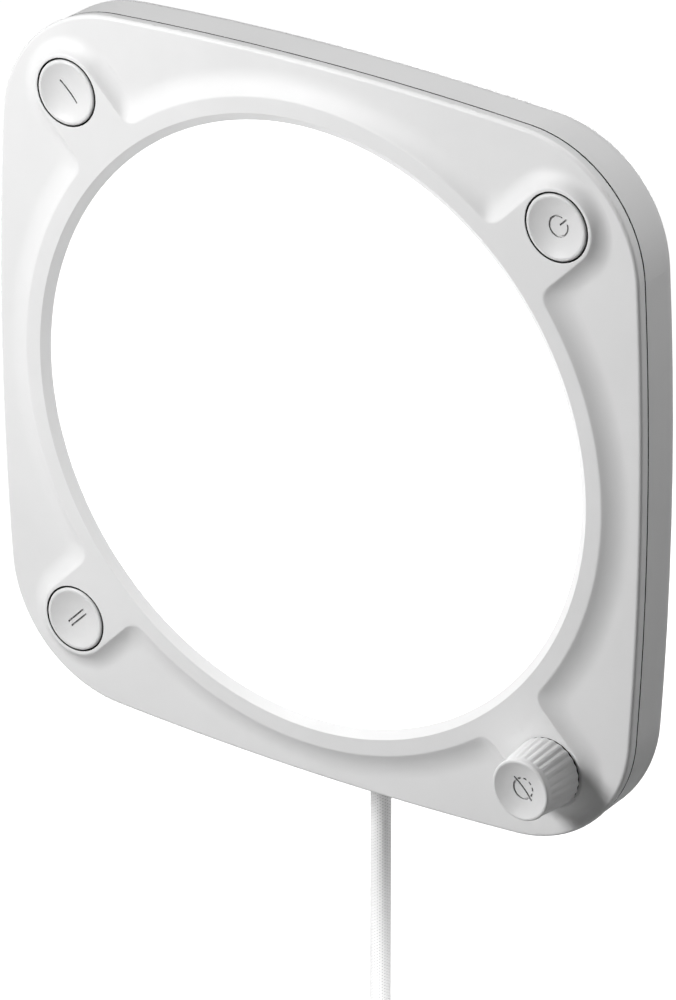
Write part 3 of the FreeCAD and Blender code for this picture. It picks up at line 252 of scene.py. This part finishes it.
class Shell:
    """Mesh built from loops of points."""

    def __init__(self):
        self.points = []
        self.faces = []

    def loop(self, points):
        """Adds points that are written as (x, depth, z) in millimetres. Returns their numbers."""
        return self.loop_metres([metres((x, depth - TOTAL_DEPTH, z)) for x, depth, z in points])

    def loop_metres(self, points):
        first = len(self.points)
        self.points.extend(tuple(float(value) for value in point) for point in points)
        return list(range(first, len(self.points)))

    def strip(self, near, far, closed=True):
        """Four-sided faces between two loops of equal count."""
        count = len(near)
        for index in range(count if closed else count - 1):
            after = (index + 1) % count
            self.faces.append((near[index], near[after], far[after], far[index]))

    def strips(self, loops):
        """Four-sided faces between each loop and the next."""
        for near, far in zip(loops, loops[1:]):
            self.strip(near, far)

    def fan_strip(self, near, far):
        """Faces between a loop and one with several times fewer points."""
        share = len(near) // len(far)
        for index in range(len(far)):
            after = (index + 1) % len(far)
            start = index * share
            ring = [near[(start + step) % len(near)] for step in range(share + 1)]
            self.faces.append(tuple(ring + [far[after], far[index]]))

    def cap(self, loop):
        self.faces.append(tuple(loop))

    def lathe(self, profile, count, x=0.0, z=0.0):
        """Surface of revolution about a Y axis. profile holds (radius, depth). Returns its loops."""
        loops = [self.loop(circle(radius, depth, count, x, z)) for radius, depth in profile]
        self.strips(loops)
        return loops

    def fill(self, loops, wanted):
        """Flat face bounded by loops that lie at one depth. wanted(x, z) says where it is solid."""
        order = [index for loop in loops for index in loop]
        flat = [Vector((self.points[index][0], self.points[index][2])) * 1000 for index in order]
        edges = []
        start = 0
        for loop in loops:
            count = len(loop)
            edges += [(start + step, start + (step + 1) % count) for step in range(count)]
            start += count
        places, _, triangles, origins, _, _ = delaunay_2d_cdt(flat, edges, [], 1, 1e-7)
        for triangle in triangles:
            middle = sum((places[corner] for corner in triangle), Vector((0.0, 0.0))) / 3
            if wanted(middle.x, middle.y):
                self.faces.append(tuple(order[origins[corner][0]] for corner in triangle))

    def make(self, name, material, sharp_angle=35):
        """Turns the faces into a smooth piece that keeps its edges sharp from an angle in degrees."""
        mesh = bpy.data.meshes.new(name)
        mesh.from_pydata(self.points, [], self.faces)
        cleaner = bmesh.new()
        cleaner.from_mesh(mesh)
        bmesh.ops.recalc_face_normals(cleaner, faces=cleaner.faces)
        cleaner.to_mesh(mesh)
        cleaner.free()
        mesh.shade_smooth()
        mesh.set_sharp_from_angle(angle=math.radians(sharp_angle))
        mesh.materials.append(materials[material])
        piece = add_object(name, mesh)
        weighted = piece.modifiers.new("even_shading", "WEIGHTED_NORMAL")
        weighted.keep_sharp = True
        return piece


# Camera

def add_camera():
    """The photo's view: from the front right, a little from above, through a long lens."""
    azimuth = math.radians(CAMERA_AZIMUTH)
    elevation = math.radians(CAMERA_ELEVATION)
    back = Vector((math.sin(azimuth) * math.cos(elevation),
                   -math.cos(azimuth) * math.cos(elevation),
                   math.sin(elevation)))
    data = bpy.data.cameras.new("photo_camera")
    data.lens = CAMERA_LENS
    data.sensor_width = CAMERA_SENSOR
    place = Vector(CAMERA_TARGET) + back * CAMERA_DISTANCE
    bpy.context.scene.camera = add_looking("photo_camera", data, place, back)


# Cord

def coil_point(travel):
    """Point on the put-away coil after so many turns from its entry."""
    leg = COIL_TURNS / COIL_LAYERS
    layer = min(int(travel / leg + 1e-9), COIL_LAYERS - 1)
    into = travel - layer * leg
    radius = COIL_RADIUS - COIL_PITCH * (into if layer % 2 == 0 else leg - into)
    level = 0.0
    for reversal in range(1, COIL_LAYERS):
        share = min(max((travel - reversal * leg) / COIL_CLIMB_TURNS + 0.5, 0.0), 1.0)
        level += share - math.sin(2 * math.pi * share) / (2 * math.pi)
    angle = math.radians(COIL_START_ANGLE) + 2 * math.pi * travel
    return (COIL_X + radius * math.cos(angle), CORD_Y - COIL_PITCH * level, COIL_Z + radius * math.sin(angle))


def cord_centreline():
    """Points along the cord's middle, in metres, read from one open curve."""
    last = int(COIL_TURNS * COIL_POINTS_PER_TURN)
    coil = [coil_point(index / COIL_POINTS_PER_TURN) for index in range(last + 1)]
    points = [*ROUTE_TO_COIL, *coil, *ROUTE_TO_PLUG]
    curve = bpy.data.curves.new("cord_line", "CURVE")
    curve.dimensions = "3D"
    curve.resolution_u = 6
    spline = curve.splines.new("NURBS")
    spline.points.add(len(points) - 1)
    for target, point in zip(spline.points, points):
        target.co = (*metres(point), 1.0)
    spline.order_u = 3
    spline.use_endpoint_u = True
    holder = add_object("cord_line", curve)
    bpy.context.view_layer.update()
    line = bpy.data.meshes.new_from_object(holder)
    centreline = [tuple(vertex.co) for vertex in line.vertices]
    bpy.data.objects.remove(holder)
    bpy.data.curves.remove(curve)
    bpy.data.meshes.remove(line)
    return centreline


def resampled(points, spacings):
    """Stations along a polyline, where spacings holds (length to reach, spacing) pairs."""
    points = np.array(points)
    steps = np.linalg.norm(np.diff(points, axis=0), axis=1)
    lengths = np.concatenate(([0.0], np.cumsum(steps)))
    stations = [0.0]
    for reach, spacing in spacings:
        end = min(reach, lengths[-1])
        count = max(int(math.ceil((end - stations[-1]) / spacing)), 1)
        stations += list(np.linspace(stations[-1], end, count + 1)[1:])
    stations = np.array(stations)
    line = np.stack([np.interp(stations, lengths, points[:, axis]) for axis in range(3)], axis=1)
    return stations, line


def swept_frames(line):
    """Two unit vectors across each station, carried along without twist."""
    tangents = np.gradient(line, axis=0)
    tangents /= np.linalg.norm(tangents, axis=1)[:, None]
    side = np.array([1.0, 0.0, 0.0])
    sides = []
    for tangent in tangents:
        side = side - tangent * np.dot(side, tangent)
        side /= np.linalg.norm(side)
        sides.append(side)
    sides = np.array(sides)
    return sides, np.cross(tangents, sides)


def braid_height(around, along):
    """Height of the strands at so many turns round the cord and metres along it."""
    rising = around * BRAID_AROUND + along / BRAID_PITCH
    falling = around * BRAID_AROUND - along / BRAID_PITCH
    return (np.abs(np.sin(math.pi * rising)) + np.abs(np.sin(math.pi * falling))) / 2


def cord_surface(stations, line):
    """Rings of points round the cord, in metres, one for each station."""
    sides, ups = swept_frames(line)
    around = np.arange(POINTS_AROUND_CORD) / POINTS_AROUND_CORD
    turn = around * 2 * math.pi
    height = braid_height(around[None, :], stations[:, None])
    height = np.where(stations[:, None] < HANGING_LENGTH, height, BRAID_MEAN_HEIGHT)
    radius = CORD_DIAMETER / 2000 + BRAID_RELIEF * (height - BRAID_MEAN_HEIGHT)
    across = np.cos(turn)[None, :, None] * sides[:, None, :]
    up = np.sin(turn)[None, :, None] * ups[:, None, :]
    return line[:, None, :] + (across + up) * radius[:, :, None]


def lay_cord_map(mesh, places):
    """Map of turns round the cord and metres along it. The coil gets the second material."""
    layer = mesh.uv_layers.new(name="cord_map")
    for face in mesh.polygons:
        spots = [places[mesh.loops[corner].vertex_index] for corner in face.loop_indices]
        wraps = max(spot[0] for spot in spots) - min(spot[0] for spot in spots) > 0.5
        for corner, (around, along) in zip(face.loop_indices, spots):
            layer.data[corner].uv = (around + 1.0 if wraps and around < 0.5 else around, along)
        if max(spot[1] for spot in spots) > HANGING_LENGTH:
            face.material_index = 1


def make_cord():
    """Braided cord. Its relief is modelled where it hangs in view, and is fine bumps on the put-away coil."""
    centreline = cord_centreline()
    spacings = ((HANGING_LENGTH, HANGING_SPACING), (math.inf, COIL_SPACING))
    stations, line = resampled(centreline, spacings)
    shell = Shell()
    loops = []
    places = []
    for station, ring in zip(stations, cord_surface(stations, line)):
        loop = shell.loop_metres(ring if station < HANGING_LENGTH else ring[::COIL_POINT_SHARE])
        loops.append(loop)
        places += [(step / len(loop), station) for step in range(len(loop))]
    for near, far in zip(loops, loops[1:]):
        if len(near) == len(far):
            shell.strip(near, far)
        else:
            shell.fan_strip(near, far)
    shell.cap(loops[0])
    shell.cap(loops[-1])
    cord = shell.make("braided_cord", "cord_white", sharp_angle=80)
    cord.data.materials.append(materials["cord_coil"])
    lay_cord_map(cord.data, places)
    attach(cord, "panel")
    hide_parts("power_cord", "cord_coil")


# Front bezel

def control_distance(x, z):
    """Distance from the axis of the nearest control."""
    return math.hypot(abs(x) - CONTROL_OFFSET, abs(z) - CONTROL_OFFSET)


def in_control_holes(x, z, button_radius, knob_radius, margin):
    """Whether a place is in the hole of a button or, at the bottom right, of the knob."""
    return control_distance(x, z) < (knob_radius if x > 0 > z else button_radius) - margin


def panel_outline(inset, depth):
    """Rounded square with slightly bulging sides, moved inwards by an inset."""
    side_centre = PANEL_HALF - SIDE_BULGE_RADIUS
    lean = math.atan2(CORNER_CENTRE, CORNER_CENTRE - side_centre)
    points = []
    for quarter in range(4):
        turned = quarter * math.pi / 2
        arcs = [(side_centre, 0.0, SIDE_BULGE_RADIUS - inset, turn)
                for turn in np.linspace(-lean, lean, SIDE_POINTS)]
        arcs += [(CORNER_CENTRE, CORNER_CENTRE, CORNER_RADIUS - inset, turn)
                 for turn in np.linspace(lean, math.pi / 2 - lean, CORNER_POINTS)[1:-1]]
        for x, z, radius, turn in arcs:
            across = x + radius * math.cos(turn)
            up = z + radius * math.sin(turn)
            points.append((across * math.cos(turned) - up * math.sin(turned), depth,
                           across * math.sin(turned) + up * math.cos(turned)))
    return points


def raised_distance(x, z):
    """0 on the edge of the raised ring and its arms, 1 at the foot of their flanks."""
    ring = (np.hypot(x, z) - RING_OUTER_RADIUS) / RING_FLANK
    along = (np.abs(x) + np.abs(z)) * math.sqrt(0.5)
    across = (np.abs(x) - np.abs(z)) * math.sqrt(0.5)
    beyond = np.maximum(along - CONTROL_OFFSET * math.sqrt(2), 0.0)
    from_axis = np.hypot(beyond, across)
    forward = (beyond / np.maximum(from_axis, 1e-6)) ** 2
    arm = (from_axis - ARM_HALF_WIDTH) / (ARM_FLANK + (ARM_END_FLANK - ARM_FLANK) * forward)
    overlap = np.maximum(NOTCH_BLEND - np.abs(ring - arm), 0.0) / NOTCH_BLEND
    return np.minimum(ring, arm) - overlap ** 2 * NOTCH_BLEND / 4


def raised_slope(x, z):
    """How fast raised_distance grows along x and along z."""
    step = 1e-4
    return ((raised_distance(x + step, z) - raised_distance(x - step, z)) / (2 * step),
            (raised_distance(x, z + step) - raised_distance(x, z - step)) / (2 * step))


def moved_to_level(x, z, level):
    """Points moved along the slope until they reach a level of raised_distance."""
    rounds = 6
    for _ in range(rounds):
        slope_x, slope_z = raised_slope(x, z)
        pull = (level - raised_distance(x, z)) / (slope_x ** 2 + slope_z ** 2)
        x = x + slope_x * pull
        z = z + slope_z * pull
    return x, z


def raised_edge():
    """Evenly spaced points once round the edge of the raised ring and its arms."""
    x, z = moved_to_level(RING_OUTER_RADIUS, 0.0, 0.0)
    found = [(x, z)]
    # The walk ends when it has left its start and comes back to it
    fewest = 20
    near = PLATEAU_EDGE_STEP * 0.75
    while len(found) < fewest or math.hypot(x - found[0][0], z - found[0][1]) > near:
        slope_x, slope_z = raised_slope(x, z)
        reach = PLATEAU_EDGE_STEP / math.hypot(slope_x, slope_z)
        x, z = moved_to_level(x - slope_z * reach, z + slope_x * reach, 0.0)
        found.append((x, z))
    found = np.array(found[:-1])
    return found[:, 0], found[:, 1]


def flank_depth(level):
    """Depth of the flank: a small round at the top edge, then a hollow that ends level with the valley."""
    edge = PLATEAU_EDGE_SHARE
    if level < edge:
        share = (1 - edge) / (2 * edge) * (level + edge) ** 2
    else:
        share = 2 * level - level ** 2 - edge ** 2
    return VALLEY_DEPTH * share / (1 - edge ** 2)


def quarter_round(radius, start, depth):
    """(distance, depth) steps of a convex edge round that turns a flat face into a wall."""
    profile = []
    for angle in np.linspace(0, math.pi / 2, ROUND_POINTS):
        profile.append((start + radius * (1 - math.sin(angle)), depth + radius * (1 - math.cos(angle))))
    return profile


def add_flanks(shell):
    """Flanks of the raised ring and its arms. Returns their loops, from the plateau to the valley."""
    levels = [share * PLATEAU_EDGE_SHARE for share in (-1.0, -0.5, 0.0, 0.5, 1.0)]
    levels += list(np.linspace(PLATEAU_EDGE_SHARE, 1.0, FLANK_STEPS + 1)[1:])
    x, z = raised_edge()
    loops = []
    for level in levels:
        x, z = moved_to_level(x, z, level)
        depth = flank_depth(level)
        loops.append(shell.loop([(float(across), depth, float(up)) for across, up in zip(x, z)]))
    shell.strips(loops)
    return loops


def add_window(shell):
    # The bevel starts before the edge round is complete
    profile = quarter_round(WINDOW_EDGE_ROUND, WINDOW_RADIUS - WINDOW_EDGE_INSET, 0.0)[:4]
    profile += [(WINDOW_BACK_RADIUS, WINDOW_BEVEL_END), (WINDOW_BACK_RADIUS, DIFFUSER_DEPTH),
                (SEAT_RADIUS, DIFFUSER_DEPTH), (SEAT_RADIUS, COLLAR_END),
                (COLLAR_RADIUS, COLLAR_END), (COLLAR_RADIUS, INNER_FACE)]
    return shell.lathe(profile, WINDOW_POINTS)


def add_guide(shell, x, z):
    """Wall that guides a button's flange, open for its key on the side towards the panel's middle."""
    heading = math.atan2(-z, -x)
    sides = []
    for radius in (GUIDE_OUTER_RADIUS, GUIDE_INNER_RADIUS):
        gap = math.asin(GUIDE_SLOT_WIDTH / 2 / radius)
        turns = np.linspace(heading + gap, heading + 2 * math.pi - gap, GUIDE_POINTS)
        for depth in (GUIDE_STOP - GUIDE_ROOT, GUIDE_END):
            sides.append(shell.loop([(x + radius * math.cos(turn), depth, z + radius * math.sin(turn))
                                     for turn in turns]))
    outer_front, outer_back, inner_front, inner_back = sides
    for near, far in ((outer_front, outer_back), (outer_back, inner_back), (inner_back, inner_front),
                      (inner_front, outer_front)):
        shell.strip(near, far, closed=False)
    for end in (0, -1):
        shell.cap([outer_front[end], outer_back[end], inner_back[end], inner_front[end]])


def add_control_holes(shell):
    """Holes for the buttons and the knob's shaft. Returns the loops of each."""
    holes = []
    for sign_x, sign_z in BUTTON_CORNERS:
        profile = quarter_round(HOLE_EDGE_ROUND, CAP_HOLE_RADIUS, 0.0)
        profile += [(CAP_HOLE_RADIUS, GUIDE_STOP), (GUIDE_OUTER_RADIUS, GUIDE_STOP),
                    (GUIDE_OUTER_RADIUS, INNER_FACE)]
        x = sign_x * CONTROL_OFFSET
        z = sign_z * CONTROL_OFFSET
        holes.append(shell.lathe(profile, BUTTON_HOLE_POINTS, x, z))
        add_guide(shell, x, z)
    profile = [(KNOB_SHADE_RADIUS, 0.0)]
    profile += quarter_round(HOLE_EDGE_ROUND, KNOB_HOLE_RADIUS, 0.0)
    profile += [(KNOB_HOLE_RADIUS, INNER_FACE)]
    holes.append(shell.lathe(profile, KNOB_HOLE_POINTS, CONTROL_OFFSET, -CONTROL_OFFSET))
    return holes


def add_side(shell):
    """Outer side of the bezel. Returns its loops, from the valley's edge to the inner face."""
    sections = []
    for inset, depth in quarter_round(FRONT_EDGE_ROUND, FRONT_EDGE_INSET, VALLEY_DEPTH):
        narrowing = SIDE_DRAFT * (depth - VALLEY_DEPTH) / (SIDE_END - VALLEY_DEPTH)
        sections.append((inset + narrowing, depth))
    sections += [(SIDE_END_ROUND_INSET, SIDE_END - SIDE_END_ROUND), (SIDE_DRAFT + SIDE_END_ROUND, SIDE_END),
                 (SIDE_DRAFT + SIDE_WALL, SIDE_END), (SIDE_DRAFT + SIDE_WALL, INNER_FACE)]
    loops = [shell.loop(panel_outline(inset, depth)) for inset, depth in sections]
    shell.strips(loops)
    return loops


def add_boss(shell, x, z, end):
    """Screw boss on the inner face, with its blind bore."""
    profile = [(BOSS_RADIUS, INNER_FACE - BOSS_ROOT), (BOSS_RADIUS, end), (BOSS_BORE_RADIUS, end),
               (BOSS_BORE_RADIUS, INNER_FACE - BOSS_BORE_ROOT)]
    loops = shell.lathe(profile, BOSS_POINTS, x, z)
    shell.cap(loops[0])
    shell.cap(loops[-1])


def shade_gaps(mesh):
    """Painted shade for the unlit depth of the narrow gaps: the walls of the button holes and the face behind
    the knob.
    """
    for face in mesh.polygons:
        middle = face.center * 1000
        depth = middle.y + TOTAL_DEPTH
        from_axis = control_distance(middle.x, middle.z)
        in_hole = depth > HOLE_EDGE_ROUND and from_axis < CAP_HOLE_RADIUS + SHADE_MARGIN
        behind_knob = middle.x > 0 > middle.z and from_axis < KNOB_SHADE_RADIUS and depth < SHADE_MARGIN
        if in_hole or behind_knob:
            face.material_index = 1


def make_bezel():
    """Front moulding with its flat faces, raised ring, holes, guides and screw bosses."""
    shell = Shell()
    flanks = add_flanks(shell)
    window = add_window(shell)
    holes = add_control_holes(shell)
    window_rim = WINDOW_RADIUS - WINDOW_EDGE_INSET + WINDOW_EDGE_ROUND

    def on_plateau(x, z):
        in_holes = in_control_holes(x, z, CAP_HOLE_RADIUS + HOLE_EDGE_ROUND, KNOB_SHADE_RADIUS,
                                    PLATEAU_HOLE_MARGIN)
        return math.hypot(x, z) > window_rim - EDGE_MARGIN and not in_holes

    shell.fill([flanks[0], window[0]] + [hole[0] for hole in holes], on_plateau)
    side = add_side(shell)
    shell.fill([side[0], flanks[-1]], lambda x, z: raised_distance(x, z) > 1.0)

    def on_inner_face(x, z):
        in_holes = in_control_holes(x, z, GUIDE_OUTER_RADIUS, KNOB_HOLE_RADIUS, EDGE_MARGIN)
        return math.hypot(x, z) > COLLAR_RADIUS - EDGE_MARGIN and not in_holes

    shell.fill([side[-1], window[-1]] + [hole[-1] for hole in holes], on_inner_face)
    for across, up, end in BOSSES:
        for sign_x in (-1, 1):
            for sign_z in (-1, 1):
                add_boss(shell, sign_x * across, sign_z * up, end)
    bezel = shell.make("bezel_moulding", "white_gloss")
    bezel.data.materials.append(materials["gap_shade"])
    shade_gaps(bezel.data)
    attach(bezel, "panel")
    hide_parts("front_bezel")


# Materials

def grey(value):
    return (value, value, value)


def shader_of(material):
    return material.node_tree.nodes["Principled BSDF"]


def mapped(tree, value, given, wanted):
    """Number that runs over one range while a value runs over another."""
    node = tree.nodes.new("ShaderNodeMapRange")
    for socket, number in zip(("From Min", "From Max", "To Min", "To Max"), (*given, *wanted)):
        node.inputs[socket].default_value = number
    tree.links.new(value, node.inputs["Value"])
    return node.outputs["Result"]


def stepped(tree, value, edge, below, above):
    """Sharp step from one number to another where a value, in metres, passes an edge."""
    half_width = 0.00001
    return mapped(tree, value, (edge - half_width, edge + half_width), (below, above))


def maths(tree):
    """Function that adds one step of sums to a material. Its inputs are numbers or outputs of other steps."""
    def worked(operation, first, second=None):
        node = tree.nodes.new("ShaderNodeMath")
        node.operation = operation
        for index, value in enumerate((first, second)):
            if isinstance(value, (int, float)):
                node.inputs[index].default_value = value
            elif value is not None:
                tree.links.new(value, node.inputs[index])
        return node.outputs["Value"]

    return worked


def place_parts(tree):
    """X, Y and Z of a place on the surface, in metres."""
    place = tree.nodes.new("ShaderNodeTexCoord")
    split = tree.nodes.new("ShaderNodeSeparateXYZ")
    tree.links.new(place.outputs["Object"], split.inputs["Vector"])
    return split.outputs


def add_bump(material, height, distance, strength=1.0):
    tree = material.node_tree
    relief = tree.nodes.new("ShaderNodeBump")
    relief.inputs["Strength"].default_value = strength
    relief.inputs["Distance"].default_value = distance
    tree.links.new(height, relief.inputs["Height"])
    tree.links.new(relief.outputs["Normal"], shader_of(material).inputs["Normal"])


def paint_shade(material, share):
    """Paints shade into a material's colour: mixes it with a near black, by a share from 0 to 1."""
    tree = material.node_tree
    colour = shader_of(material).inputs["Base Color"]
    mix = tree.nodes.new("ShaderNodeMix")
    mix.data_type = "RGBA"
    mix.inputs["B"].default_value = NEAR_BLACK
    tree.links.new(share, mix.inputs["Factor"])
    tree.links.new(colour.links[0].from_socket, mix.inputs["A"])
    tree.links.new(mix.outputs["Result"], colour)


def plastic(name, colour, roughness, grain=0.0002, bump=0.03, spread=0.02, **sockets):
    """Opaque material whose colour, roughness and surface vary a little from place to place."""
    material = bpy.data.materials.new(name)
    material.use_nodes = True
    tree = material.node_tree
    shader = shader_of(material)
    place = tree.nodes.new("ShaderNodeTexCoord")

    def noise(size, detail):
        node = tree.nodes.new("ShaderNodeTexNoise")
        node.inputs["Scale"].default_value = 1.0 / size
        node.inputs["Detail"].default_value = detail
        tree.links.new(place.outputs["Object"], node.inputs["Vector"])
        return node.outputs["Fac"]

    ramp = tree.nodes.new("ShaderNodeValToRGB")
    stops = ((0.3, 1 - spread), (0.7, 1 + spread))
    for element, (position, strength) in zip(ramp.color_ramp.elements, stops):
        element.position = position
        element.color = tuple(min(part * strength, 1.0) for part in colour) + (1.0,)
    tree.links.new(noise(COLOUR_PATCH, 3.0), ramp.inputs["Fac"])
    tree.links.new(ramp.outputs["Color"], shader.inputs["Base Color"])
    least = roughness * (1 - ROUGHNESS_SPREAD)
    most = roughness * (1 + ROUGHNESS_SPREAD)
    rough = mapped(tree, noise(ROUGHNESS_PATCH, 2.0), (0.0, 1.0), (least, most))
    tree.links.new(rough, shader.inputs["Roughness"])
    add_bump(material, noise(grain * 4, 2.0), grain, bump)
    for socket, value in sockets.items():
        shader.inputs[socket.replace("_", " ")].default_value = value
    return material


def light_up(material):
    """Makes the opal disc glow evenly white."""
    shader = shader_of(material)
    shader.inputs["Emission Color"].default_value = WHITE
    shader.inputs["Emission Strength"].default_value = GLOW_STRENGTH


def braided(name, bumps):
    """Woven white cover laid along the cord's map, with painted shade between its strands, and fine bumps if
    asked.
    """
    material = plastic(name, grey(0.97), 0.8, Sheen_Weight=0.6)
    tree = material.node_tree
    cord_map = tree.nodes.new("ShaderNodeUVMap")
    cord_map.uv_map = "cord_map"
    split = tree.nodes.new("ShaderNodeSeparateXYZ")
    tree.links.new(cord_map.outputs["UV"], split.inputs["Vector"])
    worked = maths(tree)
    across = worked("MULTIPLY", split.outputs["X"], BRAID_AROUND * math.pi)
    along = worked("MULTIPLY", split.outputs["Y"], math.pi / BRAID_PITCH)
    rising = worked("ABSOLUTE", worked("SINE", worked("ADD", across, along)))
    falling = worked("ABSOLUTE", worked("SINE", worked("SUBTRACT", across, along)))
    height = worked("MULTIPLY", worked("ADD", rising, falling), 0.5)
    paint_shade(material, mapped(tree, height, BRAID_GAP_HEIGHTS, (BRAID_GAP_SHADE, 0.0)))
    if bumps:
        add_bump(material, height, BRAID_RELIEF)
    return material


def shade_lip(material):
    """Paints shade on the lip of the rear shell, at the bottom of the seam behind the bezel."""
    tree = material.node_tree
    lip = (SIDE_END + SEAM_GAP + SHADE_MARGIN - TOTAL_DEPTH) / 1000
    paint_shade(material, stepped(tree, place_parts(tree)["Y"], lip, 1.0, 0.0))


def shade_controls(material):
    """Paints shade into the engraved symbols of the buttons and the knob, and onto the buttons' sides in
    their gaps.
    """
    tree = material.node_tree
    parts = place_parts(tree)
    worked = maths(tree)
    across = worked("SUBTRACT", worked("ABSOLUTE", parts["X"]), CONTROL_OFFSET / 1000)
    up = worked("SUBTRACT", worked("ABSOLUTE", parts["Z"]), CONTROL_OFFSET / 1000)
    squared = worked("ADD", worked("MULTIPLY", across, across), worked("MULTIPLY", up, up))
    from_axis = worked("SQRT", squared)
    outside = stepped(tree, from_axis, (CAP_RADIUS - CAP_SHADE_INSET) / 1000, 0.0, 1.0)
    behind = stepped(tree, parts["Y"], (CAP_SHADE_START - TOTAL_DEPTH) / 1000, 0.0, 1.0)
    share = worked("MULTIPLY", outside, behind)
    for reach, rim, front in DISHES:
        # The dish is part of a ball, and a symbol lies a little further from the ball's middle
        middle = front - TOTAL_DEPTH - math.sqrt(reach ** 2 - rim ** 2)
        along = worked("SUBTRACT", parts["Y"], middle / 1000)
        distance = worked("SQRT", worked("ADD", squared, worked("MULTIPLY", along, along)))
        deeper = stepped(tree, distance, (reach + SYMBOL_DEPTHS[0]) / 1000, 0.0, SYMBOL_SHADE)
        shallower = stepped(tree, distance, (reach + SYMBOL_DEPTHS[1]) / 1000, 1.0, 0.0)
        inside = stepped(tree, from_axis, (rim - DISH_RIM_MARGIN) / 1000, 1.0, 0.0)
        share = worked("ADD", share, worked("MULTIPLY", worked("MULTIPLY", deeper, shallower), inside))
    paint_shade(material, share)


def floor_material():
    """Pale floor that reads as white paper to the camera and still takes a faint shadow."""
    material = plastic("floor", grey(0.45), 0.9, bump=0.0, spread=0.005)
    tree = material.node_tree
    path = tree.nodes.new("ShaderNodeLightPath")
    lift = maths(tree)("MULTIPLY", path.outputs["Is Camera Ray"], FLOOR_LIFT)
    shader = shader_of(material)
    shader.inputs["Emission Color"].default_value = WHITE
    tree.links.new(lift, shader.inputs["Emission Strength"])
    return material


# Colour, roughness and metallic share of each material that isn't braided
FINISHES = {
    "white_gloss": (grey(0.85), 0.5, 0.0),
    "gap_shade": (grey(0.06), 0.7, 0.0),
    "white_case": (grey(0.83), 0.45, 0.0),
    "white_keys": (grey(0.80), 0.45, 0.0),
    "opal": (grey(0.85), 0.45, 0.0),
    "black_rubber": (grey(0.03), 0.7, 0.0),
    "reflector_white": (grey(0.88), 0.6, 0.0),
    "white_board": (grey(0.82), 0.5, 0.0),
    "green_board": ((0.03, 0.16, 0.07), 0.4, 0.0),
    "cool_led": ((0.85, 0.82, 0.45), 0.35, 0.0),
    "warm_led": ((0.85, 0.55, 0.15), 0.35, 0.0),
    "grey_pad": (grey(0.35), 0.8, 0.0),
    "aluminium": (grey(0.72), 0.38, 1.0),
    "steel": (grey(0.58), 0.3, 1.0),
    "nickel": ((0.72, 0.70, 0.66), 0.28, 1.0),
    "brass": ((0.80, 0.60, 0.28), 0.3, 1.0),
    "black_plastic": (grey(0.03), 0.45, 0.0),
    "beige_plastic": ((0.75, 0.68, 0.52), 0.45, 0.0),
    "ribbon": (grey(0.7), 0.5, 0.0),
    "ferrite": (grey(0.08), 0.6, 0.0),
    "can": (grey(0.65), 0.35, 1.0),
    "cord_rubber": (grey(0.78), 0.5, 0.0),
}


def make_materials():
    made = {}
    for name, (colour, roughness, metallic) in FINISHES.items():
        made[name] = plastic(name, colour, roughness, Metallic=metallic)
    light_up(made["opal"])
    shade_lip(made["white_case"])
    shade_controls(made["white_keys"])
    made["cord_white"] = braided("cord_white", bumps=False)
    made["cord_coil"] = braided("cord_coil", bumps=True)
    made["floor"] = floor_material()
    return made


def paint_nodes():
    for entry in frame["record"]["subparts"]:
        node = nodes[entry["node"]]
        node.data.materials.clear()
        node.data.materials.append(materials[entry["material_slot"]])


# Light and floor

def background(tree, strength):
    node = tree.nodes.new("ShaderNodeBackground")
    node.inputs["Color"].default_value = WHITE
    node.inputs["Strength"].default_value = strength
    return node.outputs["Background"]


def add_room():
    """Room that is white to the camera and lights the panel only faintly."""
    world = bpy.data.worlds.new("pale_room")
    bpy.context.scene.world = world
    world.use_nodes = True
    tree = world.node_tree
    tree.nodes.clear()
    path = tree.nodes.new("ShaderNodeLightPath")
    mix = tree.nodes.new("ShaderNodeMixShader")
    out = tree.nodes.new("ShaderNodeOutputWorld")
    tree.links.new(path.outputs["Is Camera Ray"], mix.inputs["Fac"])
    tree.links.new(background(tree, ROOM_LIGHT), mix.inputs[1])
    tree.links.new(background(tree, 1.0), mix.inputs[2])
    tree.links.new(mix.outputs["Shader"], out.inputs["Surface"])


def add_lamps():
    middle = Vector((0.0, -TOTAL_DEPTH / 1000, 0.0))
    for name, towards, power in LAMPS:
        direction = Vector(towards).normalized()
        data = bpy.data.lights.new(name, "AREA")
        data.shape = "DISK"
        data.size = LAMP_METRES_WIDE
        data.energy = power
        add_looking(name, data, middle + direction * LAMP_METRES_AWAY, direction)
    for name, place, height, power, width in CORD_LAMPS:
        data = bpy.data.lights.new(name, "SPOT")
        data.energy = power
        data.shadow_soft_size = CORD_LAMP_METRES_WIDE
        data.spot_size = math.radians(width)
        data.spot_blend = 1.0
        add_looking(name, data, place, Vector(place) - Vector((0.0, CORD_Y / 1000, height)))


def add_floor():
    """Pale floor under the cord's plug. It is white to the camera where nothing shades it."""
    shell = Shell()
    corners = ((-1, -1), (1, -1), (1, 1), (-1, 1))
    shell.cap(shell.loop([(x * FLOOR_REACH, y * FLOOR_REACH, FLOOR_LEVEL) for x, y in corners]))
    shell.make("floor", "floor")


add_camera()
materials = make_materials()
paint_nodes()
make_cord()
make_bezel()
add_room()
add_lamps()
add_floor()
bpy.context.scene.view_settings.view_transform = "Standard"
